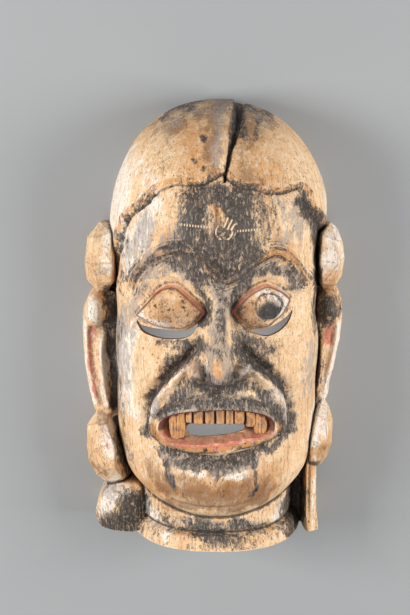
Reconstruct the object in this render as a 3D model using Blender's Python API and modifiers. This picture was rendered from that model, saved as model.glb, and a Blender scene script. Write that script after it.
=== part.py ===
"""A carved wooden dance mask: fierce face, domed scalp, ears with faceted plugs, and a banded collar.

It lies on its hollowed back. X runs across the face, +Y towards the crown and +Z out of the face,
with the back rim on the plane Z = 0. Everything is one piece of wood.
"""

import math

import bmesh
import bpy
import numpy as np

# Driving sizes, in metres
MASK_HEIGHT = 0.416  # underside of the collar to the crown
HEAD_WIDTH = 0.204  # across the scalp, without the ears
FACE_DEPTH = 0.126  # back rim to the plain front of the face, without brow or nose
WALL = 0.013  # wood left between the face and the hollow
COLLAR_WIDTH = 0.164  # across the foot of the collar
COLLAR_DEPTH = 0.113  # back rim to the front of the collar
EYE_SLIT = 0.0086  # height of the crescent under each eyeball
MOUTH_GAP = 0.0125  # height of the hole under the upper teeth
NOSE_REACH = 0.036  # how far the tip of the nose stands out of the face
VOXEL = MASK_HEIGHT / 210  # grain of the mesh that joins the carved masses
KEPT_FACES = 0.036  # share of those faces that the thinned solid keeps

# The carving is laid out in units that are 1 mm on a mask of these three sizes.
LAYOUT_WIDTH, LAYOUT_HEIGHT, LAYOUT_DEPTH = 204.0, 416.0, 126.0
UNIT = np.array(
    [HEAD_WIDTH / LAYOUT_WIDTH, MASK_HEIGHT / LAYOUT_HEIGHT, FACE_DEPTH / LAYOUT_DEPTH]
)
SHIFT = np.array([3.3, 2.5, 0.0])  # puts the middle of the whole outline over the origin

# The head, in units: two rounded ends joined by a straight stretch
CROWN_START, CROWN_REACH = 80.0, 121.9
CROWN_POWER = 2.2  # over 2 fills out the crown's shoulders
CHIN_START, CHIN_REACH = -80.0, 106.0
HALF_SCALP, HALF_CHEEK = 98.5, 97.5
FRONT = LAYOUT_DEPTH
BASE_Y = -LAYOUT_HEIGHT / 2 - SHIFT[1]
SECTION_POWER = 2.4  # over 2 squares the section's shoulders
COLLAR_TOP_Y = -150.0
BAND_GROOVE_Y = -194.5  # the groove between the collar's two bands
BELOW_RIM = 15.0  # how far the masses run past the rim before it is cut
CUTTER_PAST = 30.0
CLEAR_OF_ALL = 1.5 * LAYOUT_HEIGHT  # reach of the two cutters that make the flat faces
HEAD_ROW_COUNT = 210
HEAD_COLUMN_COUNT = 120

# Carved lines, in units: each is drawn through a few points
HAIRLINE = (
    (-101, 8), (-101, 23), (-94, 54), (-89, 75), (-85, 93), (-79, 103), (-65, 116), (-53, 128), (-38, 135),
    (-24, 135), (-10, 137), (-2, 141), (6, 145), (11, 140), (21, 133), (34, 131), (48, 127), (64, 128),
    (71, 129), (76, 123), (79, 112), (85, 104), (92, 94), (102, 72),
)
SPLIT = ((7, 138), (10, 151), (12, 163), (15, 173), (18, 186), (19, 198), (19.5, 206))
BROW = (
    (-83, 34), (-76, 49), (-65, 62), (-54, 71), (-44, 77), (-33, 79), (-24, 77), (-15, 70), (-7, 60), (3, 52),
    (11, 52), (21, 57), (32, 66), (41, 72), (50, 75), (59, 72), (68, 63), (76, 53), (85, 41),
)
EYE_FOLDS = (
    ((-78, 24), (-70, 39), (-60, 49), (-49, 54), (-38, 53), (-28, 49), (-19, 41), (-11, 29)),
    ((18, 33), (25, 42), (35, 50), (46, 53), (59, 50), (69, 42), (77, 28)),
)
FROWN = ((-22, 90), (-12, 78), (-3, 68), (6, 64), (16, 67), (28, 78))
LIDS = (
    (
        (-74, 12), (-70, 20), (-65, 27), (-59, 35), (-51, 41), (-44, 43), (-37, 43), (-30, 38), (-18, 28),
        (-11, 22), (-14, 17), (-20, 10), (-30, 4), (-40, 3), (-49, 3), (-56, 4), (-63, 6), (-69, 9),
    ),
    (
        (16, 22), (21, 29), (28, 35), (34, 39), (41, 42), (48, 44), (56, 41), (62, 37), (67, 32), (69, 27),
        (65, 18), (61, 13), (55, 9), (49, 5), (41, 4), (34, 5), (29, 7), (23, 12), (19, 17),
    ),
)
SIGHT_RISE = 7.5  # degrees that the openings rise towards the front
SIGHT_LEVEL = 114.0  # where their outlines are drawn
SLITS = (  # middle line of each opening, outer end first
    ((-74, 9), (-69, 3), (-62, 0.5), (-55, -1), (-47, -2), (-38, -2), (-29, -1), (-22, 2), (-17, 8)),
    ((70, 19), (67, 13), (62, 8), (56, 4), (49, 1), (41, 0.5), (33, 2)),
)
CHEEK_FOLDS = (
    ((-24, -27), (-32, -36), (-41, -47), (-49, -57), (-55, -68), (-57, -81), (-58, -93), (-55, -105)),
    ((22, -25), (32, -33), (43, -43), (50, -51), (57, -61), (60, -72), (61, -84), (59, -95), (54, -104)),
)
CHEEK_GROOVES = (
    (
        (-16, -3), (-21, -14), (-30, -25), (-41, -34), (-49, -44), (-57, -54), (-62, -64), (-65, -74),
        (-67, -85), (-66, -96), (-62, -106),
    ),
    (
        (19, -3), (26, -15), (37, -26), (46, -34), (56, -43), (62, -52), (66, -62), (68, -73), (68, -85),
        (66, -96), (62, -106),
    ),
)
LIPS = (
    (-55, -88), (-51, -76), (-42, -67), (-29, -60), (-15, -56), (3, -54), (22, -57), (38, -63), (49, -72),
    (56, -84), (54, -95), (46, -101), (31, -107), (14, -111), (-1, -112), (-17, -112), (-33, -109),
    (-45, -104), (-52, -97),
)
MOUTH = (
    (-49, -87), (-44, -79), (-38, -75), (-29, -72), (-15, -70), (-1, -69), (14, -69), (29, -71), (38, -74),
    (45, -78), (49, -85), (47, -92), (38, -94), (26, -95), (13, -97), (-1, -99), (-15, -100), (-27, -100),
    (-41, -100), (-47, -96),
)
LIP_GROOVE = (
    (-46, -108), (-33, -112), (-15, -116), (-1, -116), (13, -115), (26, -112), (38, -108), (50, -102),
)
CHIN_CREASE = ((-56, -156), (-48, -164), (-29, -168), (0, -169), (20, -167), (38, -160))

# Teeth, in units: middle across the mouth, half width, lower end
UPPER_TEETH_Y = -68.0
TEETH = (
    (-35.5, 7.0, -98), (-24.5, 2.8, -83), (-16, 4.3, -84), (-6, 4.2, -84), (3.5, 3.8, -84),
    (11.8, 3.5, -84), (20.6, 4.4, -84), (30.8, 4.2, -87), (40.5, 5.0, -97),
)

# The nose, in units: station down the ridge, half width there and share of its full reach
NOSE_X = 2.5
NOSE_STATIONS = (
    (50, 9, 0.0), (42, 11, 0.14), (30, 12, 0.28), (10, 14, 0.50), (-8, 18, 0.72), (-22, 22, 0.93),
    (-32, 23, 1.0), (-38, 22, 0.92), (-43, 19, 0.50), (-47, 16, 0.08), (-51, 13, 0.0),
)
NOSTRILS = ((-15, -34), (20, -32))
NOSE_HOLLOW = 13.0  # how far the hollow reaches up behind the nose

# What stands beside the face, in units: closed outlines seen from the front, and faceted plugs
# as a middle outline with the points of their front facets
PLUG_BACK, PLUG_MIDDLE = -12.0, 32.0
PLUGS = {
    "upper_left": (
        (
            (-111, 91), (-101, 87), (-95, 73), (-95, 38), (-104, 23), (-115, 23.5), (-124, 34), (-126, 52),
            (-123, 76),
        ),
        ((-116, 79, 54), (-99, 83, 55), (-118, 54, 60), (-97, 56, 66), (-112, 34, 52), (-99, 36, 56)),
    ),
    "upper_right": (
        (
            (108, 90), (115, 84), (120.5, 71), (122.5, 56), (119.5, 38), (113.5, 28.5), (101, 27), (96, 36),
            (95, 76),
        ),
        ((99, 82, 56), (112, 76, 55), (97, 58, 64), (115, 55, 60), (100, 35, 54), (111, 39, 52)),
    ),
    "lower_left": (
        (
            (-116, -95), (-105, -98), (-97, -114), (-89, -137), (-83, -158), (-92, -170), (-105, -170),
            (-117, -161), (-125, -146), (-127, -131), (-126.5, -110),
        ),
        (
            (-115, -103, 54), (-105, -104, 55), (-118, -127, 60), (-98, -119, 66), (-97, -142, 68),
            (-111, -150, 58), (-90, -156, 58), (-100, -163, 50),
        ),
    ),
    "lower_right": (
        (
            (102, -83), (109, -89), (113.5, -104), (113, -127), (108, -142), (99.5, -151.5), (90, -149),
            (87, -138), (90, -104),
        ),
        ((97, -93, 56), (106, -100, 54), (91, -116, 66), (106, -122, 60), (90, -139, 58), (101, -140, 54)),
    ),
}
EARS = {
    "left": (
        (
            (-127, 8), (-121, 20), (-112, 23.5), (-100, 22), (-88, 12), (-86, -30), (-86, -75), (-96, -100),
            (-114, -101), (-122.5, -79), (-127, -52), (-129, -27), (-129, -6),
        ),
        ((-123, 12), (-125, -6), (-125.5, -27), (-123, -52), (-118.5, -77), (-112, -95)),  # outer edge
        ((-109, -19), (-111, -34), (-110, -56), (-107, -80), (-103, -94)),  # inner edge
        (-116, 6),  # knob
    ),
    "right": (
        (
            (88, 17), (96, 27), (108, 29.5), (118, 21), (120.5, 3), (120, -13), (117, -33), (112, -58),
            (106, -85), (98, -93), (88, -86), (84, -30),
        ),
        ((116, 0), (117, -13), (114, -33), (109, -58), (103, -83)),
        ((103, -20), (102, -34), (100, -56), (97, -80)),
        (106, 9),
    ),
}
LOCK = (
    (-101, -163), (-88, -162), (-72, -166), (-66, -190), (-72, -214), (-96, -217), (-108, -214), (-116, -206),
    (-118, -194), (-113, -179),
)
STUB = ((68, -128), (90, -128), (96.5, -138), (97, -180), (97, -220), (68, -220))
STUB_GROOVES = (89.5, 93.5)

WOOD = (0.72, 0.56, 0.38, 1.0)


def smoothed(points, closed=False):
    """A Catmull-Rom line through the points."""
    p = np.array(points, float)
    ends = (p[-1:], p[:2]) if closed else (2 * p[:1] - p[1:2], 2 * p[-1:] - p[-2:-1])
    p = np.vstack([ends[0], p, ends[1]])
    t = np.linspace(0, 1, 5)[:-1, None]
    spans = [
        0.5 * (2 * b + (c - a) * t + (2 * a - 5 * b + 4 * c - d) * t**2 + (3 * b - a - 3 * c + d) * t**3)
        for a, b, c, d in zip(p, p[1:], p[2:], p[3:])
    ]
    return np.vstack([*spans, p[-2:-1]])


def distance(line, x, y):
    """Distance of each place to a line, and how far along the line its nearest point is, from 0 to 1."""
    best = np.full(x.shape, 1e9)
    along = np.zeros(x.shape)
    spans = len(line) - 1
    for i, (a, b) in enumerate(zip(line, line[1:])):
        step = b - a
        t = np.clip(((x - a[0]) * step[0] + (y - a[1]) * step[1]) / max(step @ step, 1e-9), 0, 1)
        d = np.hypot(x - a[0] - t * step[0], y - a[1] - t * step[1])
        nearer = d < best
        best = np.where(nearer, d, best)
        along = np.where(nearer, (i + t) / spans, along)
    return best, along


def inside(line, x, y):
    """True where a place lies inside the closed line."""
    crossings = np.zeros(x.shape, int)
    for a, b in zip(line, np.roll(line, -1, axis=0)):
        spans = (a[1] > y) != (b[1] > y)
        rise = b[1] - a[1] if b[1] != a[1] else 1e-9
        crossings += spans & (x < (b[0] - a[0]) * (y - a[1]) / rise + a[0])
    return crossings % 2 == 1


def ease(t):
    """0 below 0, 1 above 1, and smooth between."""
    t = np.clip(t, 0, 1)
    return t * t * (3 - 2 * t)


def bead(points, width, height, x, y, taper=0.12):
    """A raised line, or a groove where height is negative, that fades at both ends."""
    d, along = distance(smoothed(points), x, y)
    ends = ease(along / taper) * ease((1 - along) / taper)
    return height * ends * np.exp(-((d / width) ** 2))


def mound(centre, radii, height, x, y):
    """A soft round swelling, or a dip where height is negative."""
    d = ((x - centre[0]) / radii[0]) ** 2 + ((y - centre[1]) / radii[1]) ** 2
    return height * np.clip(1 - d, 0, None) ** 2


def pillow(outline, reach, height, x, y):
    """A swelling that rises from a closed outline over the given reach."""
    line = smoothed(outline, closed=True)
    d, _ = distance(line, x, y)
    rise = np.clip(d / reach, 0, 1)
    return np.where(inside(line, x, y), height * np.sqrt(1 - (1 - rise) ** 2), 0)


def scalp(x, y):
    """The raised scalp with its hairline, and the split that runs up from it."""
    line = smoothed(HAIRLINE)
    d, _ = distance(line, x, y)
    face = np.vstack([line, [(140, 60), (140, -240), (-140, -240), (-140, 5)]])
    signed = np.where(inside(face, x, y), -d, d)
    raised = 5.0 * ease((signed + 1) / 4) - 1.6 * np.exp(-(((signed + 2) / 2) ** 2))
    gap, _ = distance(smoothed(SPLIT), x, y)
    left = ease((signed - 2) / 10) * (x < np.interp(y, [p[1] for p in SPLIT], [p[0] for p in SPLIT]))
    return raised - 7.0 * np.exp(-((gap / 2.6) ** 2)) + 2.5 * left * np.exp(-gap / 30)


def eyes(x, y):
    """Sockets, bulging eyeballs and their rims."""
    made = 0
    for lid, fold in zip(LIDS, EYE_FOLDS):
        middle = np.mean(lid, axis=0)
        made = made + mound((middle[0], middle[1] + 4), (48, 46), -11, x, y)
        made = made + bead(fold, 3.2, 3.5, x, y)
        rim, _ = distance(smoothed(lid, closed=True), x, y)
        made = made + 2.6 * np.exp(-((rim / 2.0) ** 2)) + pillow(lid, 17, 13.0, x, y)
    return made


def nose(x, y):
    """The long ridge, its tip and the two nostrils, as a height in units."""
    at = [s[0] for s in NOSE_STATIONS][::-1]
    half = np.interp(y, at, [s[1] for s in NOSE_STATIONS][::-1])
    share = np.interp(y, at, [s[2] for s in NOSE_STATIONS][::-1])
    side = np.clip(np.abs(x - NOSE_X) / half, 0, 1)
    ridge = NOSE_REACH / UNIT[2] * share * (1 - side**2.2) ** 1.6
    wings = sum(mound(p, (12, 13), 15, x, y) for p in NOSTRILS)
    return np.maximum(ridge, wings)


def teeth(x, y):
    """Seven small teeth and a long fang at each corner, standing out of the mouth's floor."""
    made = np.zeros(x.shape)
    for middle, half, end in TEETH:
        across = np.clip(1 - (np.abs(x - middle) / half) ** 4, 0, None) ** 0.5
        down = ease((y - end) / 2.5) * ease((UPPER_TEETH_Y + 4 - y) / 3)
        made = np.maximum(made, 6.0 * across * down)
    return made


def mouth(x, y):
    """Lips, the sunk mouth and the folds that frame them."""
    made = pillow(LIPS, 11, 7.5, x, y)
    line = smoothed(MOUTH, closed=True)
    d, _ = distance(line, x, y)
    open_part = ease(d / 2.2) * inside(line, x, y)
    made = made - open_part * 16 + open_part * teeth(x, y)
    made = made + bead(LIP_GROOVE, 4.5, -3.5, x, y)
    for fold, groove in zip(CHEEK_FOLDS, CHEEK_GROOVES):
        made = made + bead(fold, 4.6, 6.0, x, y) + bead(groove, 4.4, -6.0, x, y)
    return made


def face(x, y):
    """The whole carving of the front, as a height over the plain head, in units."""
    made = scalp(x, y) + eyes(x, y) + mouth(x, y) + nose(x, y)
    made = made + bead(BROW, 6.0, 7.5, x, y) + bead(FROWN, 5.0, -4.0, x, y, taper=0.4)
    made = made + bead(CHIN_CREASE, 2.5, -2.0, x, y)
    made = made + mound((2, -142), (58, 34), 7, x, y) + mound((0, 108), (60, 40), 4, x, y)
    for cheek in ((-74, -30), (76, -28)):
        made = made + mound(cheek, (34, 44), 5, x, y)
    return made


def back_of_nose(x, y):
    """What the hollow follows of the carving."""
    return mound((NOSE_X, -20), (30, 58), NOSE_HOLLOW, x, y)


def head_sizes(y, inset):
    """Half width and depth of the head at each station, with the three insets taken off."""
    up = np.clip((y - CROWN_START) / (CROWN_REACH - inset[1]), 0, 1)
    down = np.clip((CHIN_START - y) / (CHIN_REACH - inset[1]), 0, 1)
    width = HALF_CHEEK + (HALF_SCALP - HALF_CHEEK) * ease(y / CROWN_START) - inset[0]
    top = (1 - up**CROWN_POWER) ** (1 / CROWN_POWER)
    return width * top * (1 - down**3) ** (1 / 3), (FRONT - inset[2]) * top * (1 - down**8) ** 0.125


def head_stations(rows, inset):
    """Rows from the chin's end to the crown, closer together where the form turns."""
    turn = np.linspace(0, math.pi / 2, rows // 3)
    chin = CHIN_START - (CHIN_REACH - inset[1]) * np.sin(turn[::-1])
    crown = CROWN_START + (CROWN_REACH - inset[1]) * np.sin(turn)
    straight = np.linspace(CHIN_START, CROWN_START, rows // 3 + 2)[1:-1]
    return np.concatenate([chin, straight, crown])


def collar_sizes(y, inset):
    """Half width and depth of the collar: an upper band, a groove and a flared lower band."""
    lower = ease((BAND_GROOVE_Y - y) / 4)
    groove = 3.0 * np.exp(-(((y - BAND_GROOVE_Y) / 2.2) ** 2)) * (inset[0] == 0)
    flare = 3.0 * lower + 5.0 * np.clip((BAND_GROOVE_Y - y) / (BAND_GROOVE_Y - BASE_Y), 0, 1.5)
    half_foot = COLLAR_WIDTH / 2 / UNIT[0]
    front_foot = COLLAR_DEPTH / UNIT[2]
    out = flare - groove - 7
    return half_foot + out - inset[0], front_foot + out - inset[2]


def placed(point):
    """A point of the layout, in metres."""
    return (np.array(point) + SHIFT) * UNIT


def arch_block(name, stations, sizes, columns, relief=None, floor=-BELOW_RIM):
    """A solid whose sections are arches standing on a flat floor, with a relief raised off the arch."""
    across = np.sin(np.linspace(-math.pi / 2, math.pi / 2, columns))
    half, depth = sizes(stations)
    x = half[:, None] * across[None, :]
    y = np.repeat(stations[:, None], columns, axis=1)
    z = depth[:, None] * (1 - np.abs(across) ** SECTION_POWER)[None, :] ** (1 / SECTION_POWER)
    points = np.stack([x, y, z], axis=2)
    if relief is not None:
        along_x = np.gradient(points, axis=1)
        along_y = np.gradient(points, axis=0)
        normal = np.cross(along_x, along_y)
        normal /= np.maximum(np.linalg.norm(normal, axis=2, keepdims=True), 1e-9)
        points = points + normal * (relief(x, y) * ease(z / 30))[:, :, None]
    work = bmesh.new()
    bmesh.ops.create_grid(work, x_segments=columns - 1, y_segments=len(stations) - 1, size=1)
    for vertex, place in zip(work.verts, points.reshape(-1, 3)):
        vertex.co = placed(place)
    rim = [edge for edge in work.edges if edge.is_boundary]
    skirt = bmesh.ops.extrude_edge_only(work, edges=rim)["geom"]
    for vertex in (item for item in skirt if isinstance(item, bmesh.types.BMVert)):
        vertex.co.z = floor * UNIT[2]
    bmesh.ops.holes_fill(work, edges=[edge for edge in work.edges if edge.is_boundary])
    bmesh.ops.remove_doubles(work, verts=work.verts, dist=1e-6)
    return finished(name, work)


def finished(name, work):
    """Turns a bmesh into an object with its faces pointing out."""
    bmesh.ops.recalc_face_normals(work, faces=work.faces)
    mesh = bpy.data.meshes.new(name)
    work.to_mesh(mesh)
    work.free()
    made = bpy.data.objects.new(name, mesh)
    bpy.context.scene.collection.objects.link(made)
    return made


def plug(name, middle, front):
    """A big faceted ear plug: the hull of its middle outline, its back and its front facets."""
    work = bmesh.new()
    inner = np.mean(middle, axis=0)
    for share, z in ((0.85, PLUG_BACK), (1.0, PLUG_MIDDLE)):
        for p in middle:
            work.verts.new(placed((*(inner + (np.array(p) - inner) * share), z)))
    for p in front:
        work.verts.new(placed(p))
    hull = bmesh.ops.convex_hull(work, input=work.verts)
    loose = [g for g in hull["geom_interior"] + hull["geom_unused"] if isinstance(g, bmesh.types.BMVert)]
    bmesh.ops.delete(work, geom=loose, context="VERTS")
    return finished(name, work)


def relief_block(name, outline, height, rings=14):
    """A block with an upright side along the outline and a carved front, given as a height in units."""
    line = smoothed(outline, closed=True)[:-1]
    inner = np.mean(line, axis=0)
    shares = 1 - (np.arange(rings) / rings) ** 1.3
    shares = np.concatenate([[1.0], shares])
    places = inner + (line[None, :, :] - inner) * shares[:, None, None]
    top = height(places[1:, :, 0], places[1:, :, 1])
    work = bmesh.new()
    loops = []
    for i, ring in enumerate(places):
        z = np.full(len(ring), -BELOW_RIM) if i == 0 else top[i - 1]
        loops.append([work.verts.new(placed((p[0], p[1], q))) for p, q in zip(ring, z)])
    for low, high in zip(loops, loops[1:]):
        for a, b, c, d in zip(low, low[1:] + low[:1], high[1:] + high[:1], high):
            work.faces.new((a, b, c, d))
    work.faces.new(loops[0][::-1])
    work.faces.new(loops[-1])
    return finished(name, work)


def rounded(outline, depth, reach, x, y):
    """A front that drops away towards the outline over the given reach."""
    d, _ = distance(smoothed(outline, closed=True), x, y)
    rise = np.clip(d / reach, 0, 1)
    return depth - reach + reach * np.sqrt(1 - (1 - rise) ** 2)


def ear_front(outline, edge, ridge, knob, x, y):
    """Height of an ear: a shell sunk between its outer edge and an inner ridge, under a round knob."""
    made = rounded(outline, 34, 10, x, y)
    made = made + bead(edge, 3.0, 7.0, x, y) + bead(ridge, 3.2, 8.0, x, y)
    side = np.sign(knob[0])
    recess = smoothed([(p[0] - 9.0 * side, p[1]) for p in ridge])
    d, _ = distance(recess, x, y)
    made = made - 12 * np.exp(-((d / 5.0) ** 2))
    rise = 1 - ((x - knob[0]) / 12) ** 2 - ((y - knob[1]) / 18) ** 2
    return np.maximum(made, 30 + 24 * np.sqrt(np.clip(rise, 0, 1)))


def stub_front(x, y):
    """A dark sunk face towards the collar and a front of narrow strips."""
    made = 22 + 34 * ease((x - 82) / 6)
    for groove in STUB_GROOVES:
        made = made - 3.0 * np.exp(-(((x - groove) / 1.2) ** 2))
    return made - 6 * ease((x - 93) / 4)


def block(name, low, high):
    """A plain block between two corners, in units."""
    work = bmesh.new()
    bmesh.ops.create_cube(work, size=1)
    for vertex in work.verts:
        vertex.co = placed([lo + (hi - lo) * (c + 0.5) for c, lo, hi in zip(vertex.co, low, high)])
    return finished(name, work)


def prism(name, outline, low, high):
    """An outline on the face, carried through the wall from low to high and rising towards the front."""
    work = bmesh.new()
    lean = math.tan(math.radians(SIGHT_RISE))
    drop, lift = ((z - SIGHT_LEVEL) * lean for z in (low, high))
    ring = [work.verts.new(placed((p[0], p[1] + drop, low))) for p in outline]
    base = work.faces.new(ring)
    top = bmesh.ops.extrude_face_region(work, geom=[base])["geom"]
    for vertex in (item for item in top if isinstance(item, bmesh.types.BMVert)):
        vertex.co.y += (lift - drop) * UNIT[1]
        vertex.co.z = high * UNIT[2]
    return finished(name, work)


def slit_outline(middle_line):
    """A crescent of the slit's height at its middle, pointed at both ends."""
    line = smoothed(middle_line)
    half = EYE_SLIT / 2 / UNIT[1] * np.sin(np.linspace(0.12, math.pi - 0.12, len(line))) ** 0.5
    return np.vstack([line + np.stack([0 * half, half], 1), (line - np.stack([0 * half, half], 1))[::-1]])


def mouth_outline():
    """The hole under the small teeth, from one fang to the other."""
    top = -85.5
    low = top - MOUTH_GAP / UNIT[1]
    corners = (
        (-24, top), (25, top), (26, top - 3), (24, low + 6), (14, low + 3), (0, low + 1), (-15, low),
        (-24, low + 1), (-28, low + 6),
    )
    return np.array(corners)


def joined(name, masses):
    """The masses as one object, still overlapping."""
    work = bmesh.new()
    for mass in masses:
        work.from_mesh(mass.data)
        bpy.data.objects.remove(mass)
    mesh = bpy.data.meshes.new(name)
    work.to_mesh(mesh)
    work.free()
    made = bpy.data.objects.new(name, mesh)
    return made


def carved_masses():
    """Every mass of the outside."""
    plain = (0.0, 0.0, 0.0)
    rows = head_stations(HEAD_ROW_COUNT, plain)
    arch_block("head", rows, lambda y: head_sizes(y, plain), HEAD_COLUMN_COUNT, face)
    arch_block("collar", np.linspace(COLLAR_TOP_Y, BASE_Y - 8, 60), lambda y: collar_sizes(y, plain), 60)
    for name, (middle, front) in PLUGS.items():
        plug(f"plug_{name}", middle, front)
    for name, (outline, edge, ridge, knob) in EARS.items():
        relief_block(f"ear_{name}", outline, lambda x, y: ear_front(outline, edge, ridge, knob, x, y))
    relief_block("lock", LOCK, lambda x, y: rounded(LOCK, 62, 18, x, y))
    relief_block("stub", STUB, stub_front)
    block("rail_left", (-105, -180, -BELOW_RIM), (-60, 60, 18))
    block("rail_right", (60, -180, -BELOW_RIM), (97, 60, 18))
    return list(bpy.context.scene.collection.objects)


def cutters():
    """The hollow, the neck hole, the planes of the rim and the foot, and the openings of the face."""
    inset = WALL / UNIT
    floor = -CUTTER_PAST
    far = CLEAR_OF_ALL
    stations = head_stations(36, inset)
    made = [
        arch_block("hollow", stations, lambda y: head_sizes(y, inset), 18, back_of_nose, floor),
        arch_block(
            "neck_hole",
            np.array([-120.0, BASE_Y - CUTTER_PAST]),
            lambda y: collar_sizes(0 * y + COLLAR_TOP_Y, inset),
            20,
            None,
            floor - 3,
        ),
        block("under_rim", (-far, -far, -far), (far, far, 0)),
        block("under_foot", (-far, BASE_Y - far, -far), (far, BASE_Y, far)),
        prism("mouth_hole", mouth_outline(), 60, 180),
    ]
    for i, line in enumerate(SLITS):
        made.append(prism(f"slit_{i}", slit_outline(line), 50, 180))
    return made


def material():
    """Worn cream paint over wood."""
    made = bpy.data.materials.new("painted_wood")
    made.use_nodes = True
    shader = made.node_tree.nodes["Principled BSDF"]
    shader.inputs["Base Color"].default_value = WOOD
    shader.inputs["Roughness"].default_value = 0.7
    return made


def collection(name, hidden=False):
    made = bpy.data.collections.new(name)
    bpy.context.scene.collection.children.link(made)
    made.hide_render = hidden
    return made


def main():
    for old in list(bpy.data.objects):
        bpy.data.objects.remove(old)
    mask = joined("mask", carved_masses())
    collection("dance_mask").objects.link(mask)
    mask.data.materials.append(material())
    one = mask.modifiers.new("one piece of wood", "REMESH")
    one.mode = "VOXEL"
    one.voxel_size = VOXEL
    thin = mask.modifiers.new("fewer faces", "DECIMATE")
    thin.ratio = KEPT_FACES
    tools = collection("cutters", hidden=True)
    for cutter in cutters():
        bpy.context.scene.collection.objects.unlink(cutter)
        tools.objects.link(cutter)
        cutter.hide_render = True
        cutter.display_type = "WIRE"
        cut = mask.modifiers.new(cutter.name, "BOOLEAN")
        cut.operation = "DIFFERENCE"
        cut.object = cutter


main()
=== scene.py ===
"""A carved and painted wooden dance mask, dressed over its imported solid.

Each piece repeats the forms of the solid at a finer grain and adds the marks of the tool, the splits and
the worn paint. The mask lies face up on its back rim: X across the face, +Y to the crown, +Z out of it.
"""

import math

import bmesh
import bpy
import numpy as np
from bpy.props import FloatProperty, FloatVectorProperty, PointerProperty
from mathutils import Matrix, Vector
from mathutils.kdtree import KDTree


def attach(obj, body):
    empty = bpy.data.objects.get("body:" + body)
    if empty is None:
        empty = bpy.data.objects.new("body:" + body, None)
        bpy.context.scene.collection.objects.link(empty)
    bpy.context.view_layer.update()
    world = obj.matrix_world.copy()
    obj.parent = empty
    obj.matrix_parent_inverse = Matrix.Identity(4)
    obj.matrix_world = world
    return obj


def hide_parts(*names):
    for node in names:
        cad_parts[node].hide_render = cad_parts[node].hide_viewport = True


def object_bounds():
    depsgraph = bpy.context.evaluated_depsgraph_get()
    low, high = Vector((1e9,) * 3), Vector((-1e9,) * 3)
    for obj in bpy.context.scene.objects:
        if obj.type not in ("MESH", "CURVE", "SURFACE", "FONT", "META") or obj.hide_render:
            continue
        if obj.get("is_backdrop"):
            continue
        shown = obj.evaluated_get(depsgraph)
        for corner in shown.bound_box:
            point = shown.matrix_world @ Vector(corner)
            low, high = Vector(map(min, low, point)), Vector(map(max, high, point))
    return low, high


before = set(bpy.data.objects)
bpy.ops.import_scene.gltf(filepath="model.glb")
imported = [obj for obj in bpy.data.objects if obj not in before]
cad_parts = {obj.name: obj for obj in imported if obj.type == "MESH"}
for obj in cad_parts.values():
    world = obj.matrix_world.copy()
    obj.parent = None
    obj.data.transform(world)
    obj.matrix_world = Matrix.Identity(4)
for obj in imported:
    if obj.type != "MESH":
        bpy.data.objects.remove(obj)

bl_info = {
    "name": "Carved dance mask",
    "version": (1, 0, 0),
    "blender": (4, 5, 0),
    "location": "View3D > Sidebar > Dance Mask",
    "description": "Carves and paints the pieces of the mask over its packed solid",
    "category": "Add Mesh",
}

CAD_LOW, CAD_HIGH = (np.array(corner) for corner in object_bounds())
MM = 0.001
SHIFT = np.array([3.3, 2.5, 0.0])  # puts the middle of the whole outline over the origin

# The head, in millimetres: two rounded ends joined by a straight stretch
CROWN_START, CROWN_REACH = 80.0, 121.9
CROWN_POWER = 2.2
CHIN_START, CHIN_REACH = -80.0, 106.0
HALF_SCALP, HALF_CHEEK = 98.5, 97.5
FRONT = 126.0
BASE_Y = -210.5
WALL = 13.0
SECTION_POWER = 2.4
COLLAR_TOP_Y = -150.0
HALF_COLLAR, COLLAR_FRONT = 82.0, 113.0
BAND_GROOVE_Y = -194.5
SLIT_HEIGHT = 8.6
MOUTH_GAP = 12.5
NOSE_REACH = 36.0
SIGHT_RISE, SIGHT_LEVEL = 7.5, 114.0
CROWN_FULLER = (5.8, 0.6)  # on the right and on the left
CHIN_LIFT = 4.4
FAR = 620.0
CAMERA_TILT = 12.0  # degrees
LENS, SENSOR = 94.4, 36.0

# Carved lines, in millimetres: each is drawn through a few points
HAIRLINE = (
    (-101, 8), (-101, 23), (-94, 54), (-89, 75), (-85, 93), (-79, 103), (-65, 116), (-53, 128), (-38, 135),
    (-24, 135), (-10, 137), (-2, 141), (6, 145), (11, 140), (21, 133), (34, 131), (48, 127), (64, 128),
    (71, 129), (76, 123), (79, 112), (85, 104), (92, 94), (102, 72),
)
SPLIT = ((7, 138), (10, 151), (12, 163), (15, 173), (18, 186), (19, 198), (19.5, 206))
SPLIT_WIDTHS = ((138, 0.9), (151, 1.3), (163, 1.9), (175, 2.8), (186, 3.9), (206, 4.4))
BROW = (
    (-83, 34), (-76, 49), (-65, 62), (-54, 71), (-44, 77), (-33, 79), (-24, 77), (-15, 70), (-7, 60), (3, 52),
    (11, 52), (21, 57), (32, 66), (41, 72), (50, 75), (59, 72), (68, 63), (76, 53), (85, 41),
)
EYE_FOLDS = (
    ((-78, 24), (-70, 39), (-60, 49), (-49, 54), (-38, 53), (-28, 49), (-19, 41), (-11, 29)),
    ((18, 33), (25, 42), (35, 50), (46, 53), (59, 50), (69, 42), (77, 28)),
)
FROWN = ((-22, 90), (-12, 78), (-3, 68), (6, 64), (16, 67), (28, 78))
LIDS = (
    (
        (-74, 12), (-70, 20), (-65, 27), (-59, 35), (-51, 41), (-44, 43), (-37, 43), (-30, 38), (-18, 28),
        (-11, 22), (-14, 17), (-20, 10), (-30, 4), (-40, 3), (-49, 3), (-56, 4), (-63, 6), (-69, 9),
    ),
    (
        (16, 22), (21, 29), (28, 35), (34, 39), (41, 42), (48, 44), (56, 41), (62, 37), (67, 32), (69, 27),
        (65, 18), (61, 13), (55, 9), (49, 5), (41, 4), (34, 5), (29, 7), (23, 12), (19, 17),
    ),
)
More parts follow.
